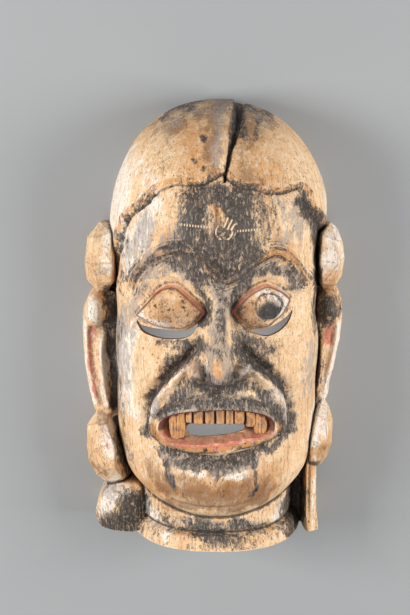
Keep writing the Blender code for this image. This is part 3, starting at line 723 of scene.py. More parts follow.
def places_across(count, flank):
    """Places across a section, close together over the face and wide apart down the flanks."""
    fine = np.sin(np.linspace(-math.pi / 2, math.pi / 2, 4001))
    z = FRONT * (1 - np.abs(fine) ** SECTION_POWER) ** (1 / SECTION_POWER)
    step = np.hypot(np.diff(HALF_SCALP * fine), np.diff(z))
    along = np.concatenate([[0], np.cumsum(step * np.where(np.abs(fine[1:]) < 0.86, 1.0, flank))])
    return np.interp(np.linspace(0, along[-1], count), along, fine)


def collar_sizes(y, inset):
    """Half width and depth of the collar: an upper band, a groove and a flared lower band."""
    lower = ease((BAND_GROOVE_Y - y) / 3)
    groove = 3.8 * bell(y - BAND_GROOVE_Y, 2.1) * (inset == 0)
    out = 3.0 * lower + 5.0 * np.clip((BAND_GROOVE_Y - y) / 16, 0, 1.5) - groove - 7
    return HALF_COLLAR + out - inset, COLLAR_FRONT + out - inset


def arch(stations, sizes, across, relief=None):
    """Points of a surface whose sections are arches standing on the floor, with a relief raised off it."""
    half, depth = sizes(stations)
    x = half[:, None] * across[None, :]
    y = np.repeat(stations[:, None], len(across), axis=1)
    z = depth[:, None] * (1 - np.abs(across) ** SECTION_POWER)[None, :] ** (1 / SECTION_POWER)
    points = np.stack([x, y, z], axis=2)
    if relief is not None:
        normal = np.cross(np.gradient(points, axis=1), np.gradient(points, axis=0))
        normal /= np.maximum(np.linalg.norm(normal, axis=2, keepdims=True), 1e-9)
        points = points + normal * (relief(x, y) * ease(z / 30))[:, :, None]
    return points, x, y


def placed(points):
    """Points of the layout, in metres and in the frame."""
    return (np.asarray(points, float) + SHIFT) * MM


def read(items, key, width, kind=float):
    """An array with one row of numbers for each of a mesh's items."""
    values = np.empty(len(items) * width, kind)
    items.foreach_get(key, values)
    return values.reshape(-1, width)


def laid_out(mesh):
    """A mesh's vertices, back in the layout's millimetres."""
    return read(mesh.vertices, "co", 3) / MM - SHIFT


def new_object(name, mesh):
    made = bpy.data.objects.new(name, mesh)
    bpy.context.scene.collection.objects.link(made)
    return made


def finished(name, work):
    """Turns a bmesh into an object with its faces pointing out."""
    bmesh.ops.recalc_face_normals(work, faces=work.faces)
    mesh = bpy.data.meshes.new(name)
    work.to_mesh(mesh)
    work.free()
    return new_object(name, mesh)


def closed_arch(name, points, floor=None):
    """A solid from a grid of arch points: its open edge is carried down to the floor and filled."""
    rows, columns = points.shape[:2]
    index = np.arange(rows * columns).reshape(rows, columns)
    quads = np.stack([index[:-1, :-1], index[:-1, 1:], index[1:, 1:], index[1:, :-1]], axis=2).reshape(-1, 4)
    mesh = bpy.data.meshes.new(name)
    mesh.from_pydata(placed(points.reshape(-1, 3)).tolist(), [], quads.tolist())
    work = bmesh.new()
    work.from_mesh(mesh)
    bpy.data.meshes.remove(mesh)
    if floor is not None:
        rim = [edge for edge in work.edges if edge.is_boundary]
        skirt = bmesh.ops.extrude_edge_only(work, edges=rim)["geom"]
        for vertex in (item for item in skirt if isinstance(item, bmesh.types.BMVert)):
            vertex.co.z = floor * MM
    bmesh.ops.remove_doubles(work, verts=work.verts, dist=2e-6)
    bmesh.ops.holes_fill(work, edges=[edge for edge in work.edges if edge.is_boundary])
    return finished(name, work)


def plug(name, middle, front):
    """A big faceted ear plug: the hull of its middle outline, its back and its front facets."""
    work = bmesh.new()
    inner = np.mean(middle, axis=0)
    for share, z in ((0.85, -12.0), (1.0, PLUG_MIDDLE)):
        for p in middle:
            work.verts.new(placed((*(inner + (np.array(p) - inner) * share), z)))
    for p in front:
        work.verts.new(placed(p))
    hull = bmesh.ops.convex_hull(work, input=work.verts)
    loose = [g for g in hull["geom_interior"] + hull["geom_unused"] if isinstance(g, bmesh.types.BMVert)]
    bmesh.ops.delete(work, geom=loose, context="VERTS")
    return finished(name, work)


def relief_block(name, outline, height, rings=36, floor=-15.0, steps=10):
    """A block with an upright side along the outline and a carved front, given as a height."""
    line = smoothed(outline, closed=True, steps=steps)[:-1]
    inner = np.mean(line, axis=0)
    shares = np.concatenate([[1.0], 1 - (np.arange(rings) / rings) ** 1.2])
    places = inner + (line[None, :, :] - inner) * shares[:, None, None]
    top = height(places[1:, :, 0], places[1:, :, 1])
    work = bmesh.new()
    loops = []
    for i, ring in enumerate(places):
        z = np.full(len(ring), floor) if i == 0 else top[i - 1]
        loops.append([work.verts.new(placed((p[0], p[1], q))) for p, q in zip(ring, z)])
    for low, high in zip(loops, loops[1:]):
        for a, b, c, d in zip(low, low[1:] + low[:1], high[1:] + high[:1], high):
            work.faces.new((a, b, c, d))
    work.faces.new(loops[0][::-1])
    work.faces.new(loops[-1])
    return finished(name, work)


def rounded(outline, depth, reach, x, y):
    """A front that drops away towards the outline over the given reach."""
    d, _ = distance(smoothed(outline, closed=True), x, y)
    rise = np.clip(d / reach, 0, 1)
    return depth - reach + reach * np.sqrt(1 - (1 - rise) ** 2)


def ear_front(outline, edge, ridge, knob, x, y):
    """Height of an ear: a shell sunk between its outer edge and an inner ridge, under a round knob."""
    made = rounded(outline, 34, 10, x, y)
    made = made + bead(edge, 3.0, 5.0, x, y) + bead(ridge, 3.0, 6.5, x, y)
    side = np.sign(knob[0])
    recess = smoothed([(p[0] - 9.0 * side, p[1]) for p in ridge])
    d, _ = distance(recess, x, y)
    made = made - 12 * bell(d, 5.0)
    made = made + 0.7 * unevenness(x, y, 3.2, 24, 41) + 0.5 * unevenness(x, y, 8, 14, 42)
    rise = 1 - ((x - knob[0]) / 12) ** 2 - ((y - knob[1]) / 18) ** 2
    return np.maximum(made, 30 + 24 * np.sqrt(np.clip(rise, 0, 1)))


def lock_front(x, y):
    """A blunt faceted lump: a broad front facet, a leaning one to the left and one below."""
    made = rounded(LOCK, 62, 14, x, y)
    left = 62 - 0.9 * np.clip(-(x + 96), 0, None) - 0.25 * np.clip(-190 - y, 0, None)
    upper = 62 - 0.55 * np.clip(y + 180, 0, None)
    return np.minimum(np.minimum(made, left), upper) + 0.5 * unevenness(x, y, 7, 12, 44)


def stub_front(x, y):
    """A dark sunk face towards the collar and a front of narrow strips."""
    made = 22 + 34 * ease((x - 84) / 3)
    for groove in STUB_GROOVES:
        made = made - 3.0 * bell(x - groove, 0.9)
    return made - 6 * ease((x - 93) / 4) + 0.4 * unevenness(x, y, 2.5, 30, 45)


def block(name, low, high):
    """A plain block between two corners."""
    work = bmesh.new()
    bmesh.ops.create_cube(work, size=1)
    for vertex in work.verts:
        vertex.co = placed([lo + (hi - lo) * (c + 0.5) for c, lo, hi in zip(vertex.co, low, high)])
    return finished(name, work)


def prism(name, outline, low, high):
    """An outline on the face, carried through the wall from low to high and rising towards the front."""
    work = bmesh.new()
    lean = math.tan(math.radians(SIGHT_RISE))
    drop, lift = ((z - SIGHT_LEVEL) * lean for z in (low, high))
    ring = [work.verts.new(placed((p[0], p[1] + drop, low))) for p in outline]
    base = work.faces.new(ring)
    top = bmesh.ops.extrude_face_region(work, geom=[base])["geom"]
    for vertex in (item for item in top if isinstance(item, bmesh.types.BMVert)):
        vertex.co.y += (lift - drop) * MM
        vertex.co.z = high * MM
    return finished(name, work)


def slit_outline(middle_line):
    """A crescent of the slit's height at its middle, pointed at both ends, with a knife's wavering edge."""
    line = smoothed(middle_line)
    half = SLIT_HEIGHT / 2 * np.sin(np.linspace(0.12, math.pi - 0.12, len(line))) ** 0.5
    waver = 0.25 * unevenness(line[:, 0], line[:, 1], 4, 4, 51)
    lower = line - np.stack([0 * half, half - waver], 1)
    return np.vstack([line + np.stack([0 * half, half], 1), lower[::-1]])


def mouth_outline():
    """The hole under the small teeth, from one fang to the other."""
    top = -85.5
    low = top - MOUTH_GAP
    corners = (
        (-24, top), (25, top), (26.5, top - 3), (25, low + 6), (14, low + 3), (0, low + 1), (-15, low),
        (-24, low + 1), (-28, low + 6), (-27.5, top - 2.5),
    )
    return np.array(corners)


def cut(piece, cutters):
    """Takes each cutter out of the piece and throws the cutters away."""
    for cutter in cutters:
        modifier = piece.modifiers.new(cutter.name, "BOOLEAN")
        modifier.operation = "DIFFERENCE"
        modifier.solver = "MANIFOLD"
        modifier.object = cutter
    settled(piece)
    for cutter in cutters:
        bpy.data.objects.remove(cutter)


def settled(piece):
    """Turns what the modifiers make into the piece's own mesh."""
    evaluated = piece.evaluated_get(bpy.context.evaluated_depsgraph_get())
    mesh = bpy.data.meshes.new_from_object(evaluated)
    piece.modifiers.clear()
    old = piece.data
    piece.data = mesh
    bpy.data.meshes.remove(old)
    mesh.name = piece.name


def fused(name, masses, grain):
    """Overlapping masses made one closed skin, with edges as soft as worn wood."""
    work = bmesh.new()
    for mass in masses:
        work.from_mesh(mass.data)
        bpy.data.objects.remove(mass)
    mesh = bpy.data.meshes.new(name)
    work.to_mesh(mesh)
    work.free()
    piece = new_object(name, mesh)
    skin = piece.modifiers.new("one skin", "REMESH")
    skin.mode = "VOXEL"
    skin.voxel_size = grain
    settled(piece)
    return piece


def field(mesh, name, values):
    """Stores one number for each vertex under a name that the materials read."""
    made = mesh.attributes.new(name, "FLOAT", "POINT")
    made.data.foreach_set("value", np.asarray(values, np.float32).ravel())


def strokes(lines, x, y):
    """How much of one paint lies at each place, from all of its strokes together."""
    bare = np.ones(x.shape)
    x, y = (
        x + 2.6 * unevenness(x, y, 7, 13, 31) + 1.2 * unevenness(x, y, 2.4, 5, 32),
        y + 3.0 * unevenness(x, y, 9, 9, 33) + 1.4 * unevenness(x, y, 3, 3, 34),
    )
    for radius, weight, points in lines:
        d, _ = near(smoothed(points), x, y, radius * 2.4)
        bare *= 1 - weight * bell(d, radius) * ease((2.4 - d / radius) / 0.6)
    return 1 - bare


def paint_fields(x, y, beside=()):
    """Every paint field at each place of the layout."""
    tables = {
        "black": BLACK + beside, "deep": beside or DEEP, "ochre": OCHRE, "pale": PALE, "red": RED,
        "brown": BROWN, "grey": GREY,
    }
    return {name: strokes(lines, x, y) for name, lines in tables.items()}


def line_fields(x, y):
    """Distances, in millimetres, that the materials turn into fine lines."""
    hair = np.clip(hair_side(x, y), -12, 12)
    lid = np.full(x.shape, 12.0)
    ball = np.zeros(x.shape)
    for outline in LIDS:
        line = smoothed(outline, closed=True)
        d, _ = near(line, x, y, 12)
        lid = np.minimum(lid, d)
        ball = np.maximum(ball, np.where(inside(line, x, y), d, 0))
    line = smoothed(MOUTH, closed=True)
    d, _ = near(line, x, y, 12)
    lip = np.where(inside(line, x, y), -d, d)
    turn = np.radians(np.linspace(128, 376, 48))
    ring = np.stack([np.cos(turn), np.sin(turn)], 1) * CRESCENT_RADIUS + np.array(CRESCENT_CENTRE)
    sign, _ = near(ring, x, y, 12)
    for flame in FLAMES:
        d, _ = near(smoothed(flame), x, y, 12)
        sign = np.minimum(sign, d)
    split, _ = near(smoothed(SPLIT), x, y, 12)
    width = np.interp(y, [p[0] for p in SPLIT_WIDTHS], [p[1] for p in SPLIT_WIDTHS])
    fissure, _ = near(smoothed(((1, 140), (-1, 118), (0.5, 92), (-0.5, 60))), x, y, 12)
    return {
        "hair": hair, "lid": lid, "ball": ball, "lip": lip, "sign": sign, "split": split - width,
        "fissure": fissure, "brow": near(smoothed(BROW), x, y, 16)[0],
        "iris": np.minimum(np.hypot(x - 46.5, (y - 25.5) / 0.98), 30), "pupil": near(PUPIL, x, y, 12)[0],
    }


def edges_and_hollows(mesh, rounds):
    """How sharply each vertex stands out, over 0, or lies in a hollow, under 0."""
    count = len(mesh.vertices)
    places = read(mesh.vertices, "co", 3)
    normals = read(mesh.vertex_normals, "vector", 3, np.float32)
    a, b = read(mesh.edges, "vertices", 2, np.int32).T
    span = places[b] - places[a]
    length = np.maximum((span**2).sum(axis=1), 1e-9)
    bend = np.zeros(count)
    met = np.zeros(count)
    np.add.at(bend, a, -(span * normals[a]).sum(axis=1) / length)
    np.add.at(bend, b, (span * normals[b]).sum(axis=1) / length)
    np.add.at(met, a, 1)
    np.add.at(met, b, 1)
    bend = np.clip(bend / np.maximum(met, 1) * 4 * MM, -3, 3)
    for _ in range(rounds):
        total = np.zeros(count)
        np.add.at(total, a, bend[b])
        np.add.at(total, b, bend[a])
        bend = (bend + total) / (1 + met)
    return bend


def held_in_box(mesh):
    """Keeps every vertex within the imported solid's box."""
    places = np.clip(read(mesh.vertices, "co", 3), CAD_LOW, CAD_HIGH)
    mesh.vertices.foreach_set("co", places.ravel())


def cleaned(piece):
    """Merges slivers, drops loose bits and sets smooth shading with crisp cut edges."""
    work = bmesh.new()
    work.from_mesh(piece.data)
    bmesh.ops.remove_doubles(work, verts=work.verts, dist=4e-6)
    bmesh.ops.dissolve_degenerate(work, edges=work.edges, dist=1e-6)
    bmesh.ops.triangulate(work, faces=[f for f in work.faces if len(f.verts) > 4])
    loose = [vertex for vertex in work.verts if not vertex.link_faces]
    bmesh.ops.delete(work, geom=loose, context="VERTS")
    work.to_mesh(piece.data)
    work.free()
    held_in_box(piece.data)
    piece.data.shade_smooth()
    piece.data.set_sharp_from_angle(angle=math.radians(55))


def tree_of(places):
    """A search tree over some of the places."""
    tree = KDTree(len(places))
    for i, place in enumerate(places):
        tree.insert(place, i)
    tree.balance()
    return tree


def nearest(tree, places):
    """The number of the nearest place in the tree and how far away it is, for each place."""
    found = [tree.find(place) for place in places]
    return np.array([f[1] for f in found]), np.array([f[2] for f in found])


def seams(pieces, reach=6.0):
    """Marks where each piece comes close to another, for dirt and painted shade in the gaps between them."""
    spots = {piece.name: laid_out(piece.data) for piece in pieces}
    trees = {name: tree_of(places[::3]) for name, places in spots.items()}
    for piece in pieces:
        places = spots[piece.name]
        gap = np.full(len(places), reach)
        for name, tree in trees.items():
            if name != piece.name:
                other = spots[name]
                low, high = other.min(axis=0) - reach, other.max(axis=0) + reach
                close = np.flatnonzero(((places > low) & (places < high)).all(axis=1))
                if len(close):
                    _, d = nearest(tree, places[close])
                    gap[close] = np.minimum(gap[close], d)
        field(piece.data, "seam", 1 - ease((gap - 0.8) / (reach - 0.8)))


class Wiring:
    """Adds nodes to one tree; a value is a number, a colour or another node's output."""

    def __init__(self, tree):
        self.tree = tree

    def put(self, socket, value):
        if isinstance(value, bpy.types.NodeSocket):
            self.tree.links.new(value, socket)
        else:
            socket.default_value = value

    def node(self, kind, values=None, out=0, **settings):
        made = self.tree.nodes.new(kind)
        for key, value in settings.items():
            setattr(made, key, value)
        for key, value in (values or {}).items():
            self.put(made.inputs[key], value)
        return made.outputs[out]

    def sum(self, operation, *values, clamp=False):
        return self.node("ShaderNodeMath", dict(enumerate(values)), operation=operation, use_clamp=clamp)

    def plus(self, a, b, clamp=False):
        return self.sum("ADD", a, b, clamp=clamp)

    def minus(self, a, b):
        return self.sum("SUBTRACT", a, b)

    def times(self, a, b, clamp=False):
        return self.sum("MULTIPLY", a, b, clamp=clamp)

    def off(self, value, middle):
        """How far a value is from the middle, on either side."""
        return self.sum("ABSOLUTE", self.minus(value, middle))

    def weighted(self, start, *pairs):
        """A value with others added, each times its own weight."""
        for value, weight in pairs:
            start = self.plus(start, self.times(value, weight))
        return start

    def axis(self, vector, name):
        return self.node("ShaderNodeSeparateXYZ", {0: vector}, name)

    def mix(self, share, a, b, blend="MIX"):
        values = {0: share, 6: a, 7: b}
        return self.node("ShaderNodeMix", values, 2, data_type="RGBA", blend_type=blend, clamp_factor=True)

    def span(self, value, low, high, to_low=0.0, to_high=1.0, smooth=True):
        values = {0: value, 1: low, 2: high, 3: to_low, 4: to_high}
        kind = "SMOOTHSTEP" if smooth else "LINEAR"
        return self.node("ShaderNodeMapRange", values, interpolation_type=kind, clamp=True)

    def noise(self, vector, scale, detail=3.0, roughness=0.55, distortion=0.0):
        values = {"Vector": vector, "Scale": scale, "Detail": detail, "Roughness": roughness}
        values["Distortion"] = distortion
        return self.node("ShaderNodeTexNoise", values, "Fac")

    def stretched(self, vector, scale):
        return self.node("ShaderNodeVectorMath", {0: vector, 1: scale}, operation="MULTIPLY")

    def field(self, name):
        return self.node("ShaderNodeAttribute", {}, "Fac", attribute_name=name)

    def place(self):
        return self.node("ShaderNodeTexCoord", {}, "Object")

    def group(self, tree, **values):
        made = self.tree.nodes.new("ShaderNodeGroup")
        made.node_tree = tree
        for key, value in values.items():
            self.put(made.inputs[key.replace("_", " ")], value)
        return made.outputs


def new_group(name, inputs, outputs):
    """An empty shader node group with named sockets; returns its tree, wiring and both ends."""
    tree = bpy.data.node_groups.new(name, "ShaderNodeTree")
    for label, kind, value in inputs:
        socket = tree.interface.new_socket(label, in_out="INPUT", socket_type=kind)
        if value is not None:
            socket.default_value = value
    for label, kind in outputs:
        tree.interface.new_socket(label, in_out="OUTPUT", socket_type=kind)
    start = tree.nodes.new("NodeGroupInput")
    end = tree.nodes.new("NodeGroupOutput")
    return tree, Wiring(tree), start.outputs, end.inputs


FLOAT, VECTOR = "NodeSocketFloat", "NodeSocketVector"


def flaked_paint_group():
    """Old paint that comes off in flakes along the grain: full at an amount of 1, gone at 0."""
    tree, w, given, out = new_group(
        "flaked paint",
        [("Vector", VECTOR, None), ("Amount", FLOAT, 0.5), ("Flake Size", FLOAT, 0.003),
         ("Along Grain", FLOAT, 2.2), ("Softness", FLOAT, 0.06)],
        [("Mask", FLOAT)],
    )
    across = w.sum("DIVIDE", 1.0, given["Flake Size"])
    along = w.sum("DIVIDE", across, given["Along Grain"])
    scale = w.node("ShaderNodeCombineXYZ", {0: across, 1: along, 2: across})
    vector = w.stretched(given["Vector"], scale)
    broad = w.noise(vector, 0.38, 5.0, 0.66, 0.25)
    fine = w.noise(vector, 2.3, 3.0, 0.6)
    both = w.plus(w.times(broad, 0.74), w.times(fine, 0.26))
    level = w.span(both, 0.37, 0.63, smooth=False)
    amount = w.minus(w.times(given["Amount"], 1.24), 0.12)
    over = w.minus(amount, level)
    mask = w.span(over, w.times(given["Softness"], -1.0), given["Softness"])
    w.put(out["Mask"], mask)
    return tree


def wood_grain_group():
    """Fine streaks and thin checks that run along Y."""
    tree, w, given, out = new_group(
        "wood grain",
        [("Vector", VECTOR, None), ("Spacing", FLOAT, 0.0016), ("Checks", FLOAT, 0.5)],
        [("Streak", FLOAT), ("Check", FLOAT)],
    )
    across = w.sum("DIVIDE", 1.0, given["Spacing"])
    along = w.sum("DIVIDE", across, 16.0)
    scale = w.node("ShaderNodeCombineXYZ", {0: across, 1: along, 2: across})
    vector = w.stretched(given["Vector"], scale)
    streak = w.noise(vector, 0.6, 4.0, 0.6, 0.25)
    w.put(out["Streak"], w.span(streak, 0.3, 0.7, smooth=False))
    line = w.noise(w.stretched(vector, (0.35, 0.22, 0.35)), 1.0, 2.0, 0.4, 0.4)
    thin = w.span(w.off(line, 0.5), 0.004, 0.013, 1.0, 0.0)
    where = w.span(w.noise(given["Vector"], 22.0, 2.0), w.minus(0.72, w.times(given["Checks"], 0.3)), 0.75)
    w.put(out["Check"], w.times(thin, where))
    return tree


def wear_group():
    """Where handling has rubbed the edges bare, and where dirt and painted shade darken the hollows and the
    gaps between pieces.
    """
    tree, w, given, out = new_group(
        "wear and dirt",
        [("Vector", VECTOR, None), ("Edge", FLOAT, 0.0), ("Seam", FLOAT, 0.0), ("Amount", FLOAT, 0.5)],
        [("Worn", FLOAT), ("Dirt And Shade", FLOAT)],
    )
    rough = w.noise(given["Vector"], 260.0, 4.0, 0.65)
    broken = w.times(w.minus(rough, 0.5), 1.3)
    edge = w.plus(given["Edge"], w.times(broken, 0.5))
    w.put(out["Worn"], w.times(w.span(edge, 0.22, 0.62), given["Amount"], clamp=True))
    # painted shade as well as dirt: darker in the hollows, where the edge field is under 0, and in the seams
    # below
    low = w.span(w.plus(given["Edge"], w.times(broken, 0.3)), -0.16, -0.62)
    seam = w.span(w.plus(given["Seam"], w.times(broken, 0.7)), 0.45, 0.9)
    w.put(out["Dirt And Shade"], w.sum("MAXIMUM", low, seam))
    return tree


def groups():
    """The shared node groups, built once."""
    if "groups" not in built:
        built["groups"] = (flaked_paint_group(), wood_grain_group(), wear_group())
    return built["groups"]


def new_material(name):
    made = bpy.data.materials.new(name)
    made.use_nodes = True
    shader = made.node_tree.nodes["Principled BSDF"]
    return made, Wiring(made.node_tree), shader


def surfaced(w, shader, colour, rough, shine, height, strength, depth):
    """Wires the colour, the roughness and the bump of a material."""
    w.put(shader.inputs["Base Color"], colour)
    w.put(shader.inputs["Roughness"], rough)
    shader.inputs["Specular IOR Level"].default_value = shine
    bump = w.node("ShaderNodeBump", {"Strength": strength, "Distance": depth, "Height": height})
    w.put(shader.inputs["Normal"], bump)


def aged(w, place, spacing, checks, wear):
    """The grain and the wear groups, wired for one material."""
    _, grain, wearing = groups()
    wood = w.group(grain, Vector=place, Spacing=spacing, Checks=checks)
    worn = w.group(wearing, Vector=place, Edge=w.field("edge"), Seam=w.field("seam"), Amount=wear)
    return wood, worn


def old_paint(name, paint, flake, patches, wear, checks, grime_and_shade=0.82, face_lines=False, facets=False):
    """Layers of old distemper on wood: cream and ochre grounds, stains, red, and black over it all."""
    made, w, shader = new_material(name)
    place = w.place()

    def flakes(amount, size, softness, along=2.2):
        given = {"Amount": amount, "Flake_Size": flake * size, "Along_Grain": along, "Softness": softness}
        return w.group(groups()[0], Vector=place, **given)["Mask"]

    cloud = w.noise(place, 16.0, 3.0, 0.55)
    mottle = w.noise(place, 60.0, 4.0, 0.6)
    speck = w.noise(w.stretched(place, (1.0, 0.4, 1.0)), 900.0, 2.0, 0.6)
    pits = w.noise(w.stretched(place, (1.0, 0.6, 1.0)), 520.0, 2.0, 0.7, 0.5)
    blotch = w.noise(w.stretched(place, (1.0, 0.55, 1.0)), 190.0, 4.0, 0.65)
    wood, worn = aged(w, place, 0.0017, checks, wear)

    ochre = w.plus(w.field("ochre"), w.times(w.minus(cloud, 0.47), 1.9), clamp=True)
    ochre = w.plus(w.times(ochre, 0.75), w.times(w.minus(mottle, 0.5), 1.1), clamp=True)
    ground = w.mix(ochre, paint.cream, paint.ochre)
    pale = flakes(w.field("pale"), 1.8, 0.3)
    ground = w.mix(w.times(pale, 0.8), ground, paint.pale)
    ground = w.mix(w.span(wood["Streak"], 0.55, 0.95, 0.0, 0.34), ground, paint.brown, "MULTIPLY")
    spots = (
        (blotch, 0.52, 0.68, 0.40, paint.ochre),
        (blotch, 0.46, 0.34, 0.35, paint.pale),
        (speck, 0.56, 0.70, 0.42, paint.brown),
        (pits, 0.64, 0.70, 0.75, paint.brown),
    )
    for pattern, low, high, share, spot in spots:
        ground = w.mix(w.span(pattern, low, high, 0.0, share), ground, spot)
    glazed = w.span(w.field("ball"), 0.5, 2.0)
    brown = w.minus(w.field("brown"), glazed)
    brown = flakes(brown, 1.0, 0.3)
    ground = w.mix(w.times(brown, 0.5), ground, paint.brown)
    glaze = w.times(w.field("brown"), w.span(mottle, 0.38, 0.62, 0.30, 0.52))
    glaze = w.times(glaze, w.plus(0.7, w.times(glazed, 1.0)))
    ground = w.mix(glaze, ground, paint.brown)
    red = flakes(w.field("red"), 0.8, 0.25)
    ground = w.mix(w.times(red, 0.85), ground, paint.red)

    if face_lines:
        ground = face_line_ground(w, ground, paint, speck, blotch)

    black = w.span(w.field("black"), 0.06, 0.84, smooth=False)
    scratch = w.noise(w.stretched(place, (1.0, 0.09, 1.0)), 560.0, 2.0, 0.65)
    ground = w.mix(w.span(scratch, 0.61, 0.68, 0.0, 0.22), ground, paint.brown)
    deep = w.field("deep")
    grey = w.field("grey")
    film = w.weighted(grey, (black, 0.6), (worn["Worn"], -0.25))
    film = flakes(film, 0.7, 0.22)
    colour = w.mix(w.times(film, 0.62), ground, paint.grey)
    tinge = w.span(mottle, 0.62, 0.44, 0.0, patches)
    amount = w.weighted(w.plus(black, tinge), (grey, 0.12), (worn["Worn"], -0.40), (deep, 0.5))
    if face_lines:
        amount = w.plus(amount, face_line_black(w, w.span(mottle, 0.42, 0.56, 0.15, 1.15)))
    broad = flakes(w.minus(amount, 0.10), 0.75, 0.09, 2.0)
    specks = flakes(w.minus(w.times(amount, 0.95), 0.04), 0.27, 0.10, 1.9)
    coat = w.sum("MAXIMUM", broad, w.times(specks, 0.92))
    rub = w.plus(w.span(amount, 0.35, 1.4, 0.52, 0.28), w.times(worn["Worn"], 0.35))
    nick = flakes(rub, 0.25, 0.10, 2.4)
    scuff = flakes(w.minus(w.times(rub, 0.90), 0.03), 0.42, 0.08, 2.6)
    nick = w.sum("MAXIMUM", w.times(nick, 0.42), w.times(scuff, 0.82))
    coat = w.times(coat, w.minus(1.0, nick))
    coat = w.times(coat, w.span(scratch, 0.59, 0.67, 1.0, 0.55))
    dust = w.noise(w.stretched(place, (1.0, 0.35, 1.0)), 620.0, 3.0, 0.7)
    tint = w.mix(w.span(blotch, 0.38, 0.66), paint.black, paint.slate)
    tint = w.mix(w.span(dust, 0.50, 0.72, 0.0, 0.50), tint, paint.grey)
    tint = w.mix(w.times(deep, 0.8), tint, paint.black)
    colour = w.mix(w.times(coat, 0.94), colour, tint)
    # dirt and painted shade: the hollows and the seams between pieces are mixed towards black
    colour = w.mix(w.times(worn["Dirt And Shade"], grime_and_shade), colour, paint.black)
    colour = w.mix(w.times(wood["Check"], 0.75), colour, paint.black)
    if face_lines:
        colour = face_line_colours(w, place, colour, paint, speck, blotch)
    if facets:
        gap = w.plus(w.field("facet"), w.times(w.minus(blotch, 0.5), 5.0))
        colour = w.mix(w.span(w.sum("ABSOLUTE", gap), 0.9, 0.2, 0.0, 0.38), colour, paint.brown)
    colour = w.mix(w.span(w.field("inside"), 0.05, 0.6), colour, paint.bare_wood)

    rough = w.weighted(0.74, (coat, -0.14), (w.minus(speck, 0.5), 0.35), (worn["Worn"], -0.16))
    height = w.weighted(
        w.times(coat, 0.20), (film, 0.08), (wood["Streak"], -0.10), (speck, 0.22),
        (wood["Check"], -0.9), (mottle, 0.5),
    )
    height = w.minus(height, w.span(pits, 0.60, 0.70, 0.0, 0.5))
    surfaced(w, shader, colour, rough, 0.36, height, 0.85, 0.0009)
    return made


def face_line_black(w, broken):
    """Black that lies along the carved lines: under the hairline, partly as painted shadow of its ledge,
    beside the brows and lids, in the eye.
    """
    total = w.span(w.field("iris"), 11.0, 8.0, 0.0, 0.36)
    for name, middle, reach, weight in BLACK_LINES:
        total = w.plus(total, w.span(w.off(w.field(name), middle), reach * 0.4, reach, weight, 0.0))
    total = w.times(total, broken)
    total = w.plus(total, w.span(w.field("split"), 1.2, -0.8, 0.0, 1.6))
    total = w.plus(total, w.span(w.field("pupil"), 8.0, 4.5, 0.0, 1.1))
    return w.plus(total, w.span(w.field("ball"), 0.3, 1.6, 0.0, -0.25))


def face_line_ground(w, ground, paint, speck, blotch):
    """Ochre along the edge of the scalp and the brows, and brown round the eyeballs, all under the black."""
    waver = w.times(w.minus(speck, 0.5), 3.0)
    broken = w.span(blotch, 0.42, 0.54, 0.25, 1.0)
    hair = w.plus(w.field("hair"), waver)
    edge = w.span(w.off(hair, 2.1), 1.0, 2.3, 0.80, 0.0)
    ground = w.mix(w.times(edge, broken), ground, paint.ochre)
    brow = w.span(w.plus(w.field("brow"), waver), 3.4, 1.6, 0.0, 0.7)
    ground = w.mix(w.times(brow, broken), ground, paint.ochre)
    shade = w.span(w.off(w.field("ball"), 1.9), 1.6, 0.4, 0.0, 0.6)
    return w.mix(shade, ground, paint.brown)


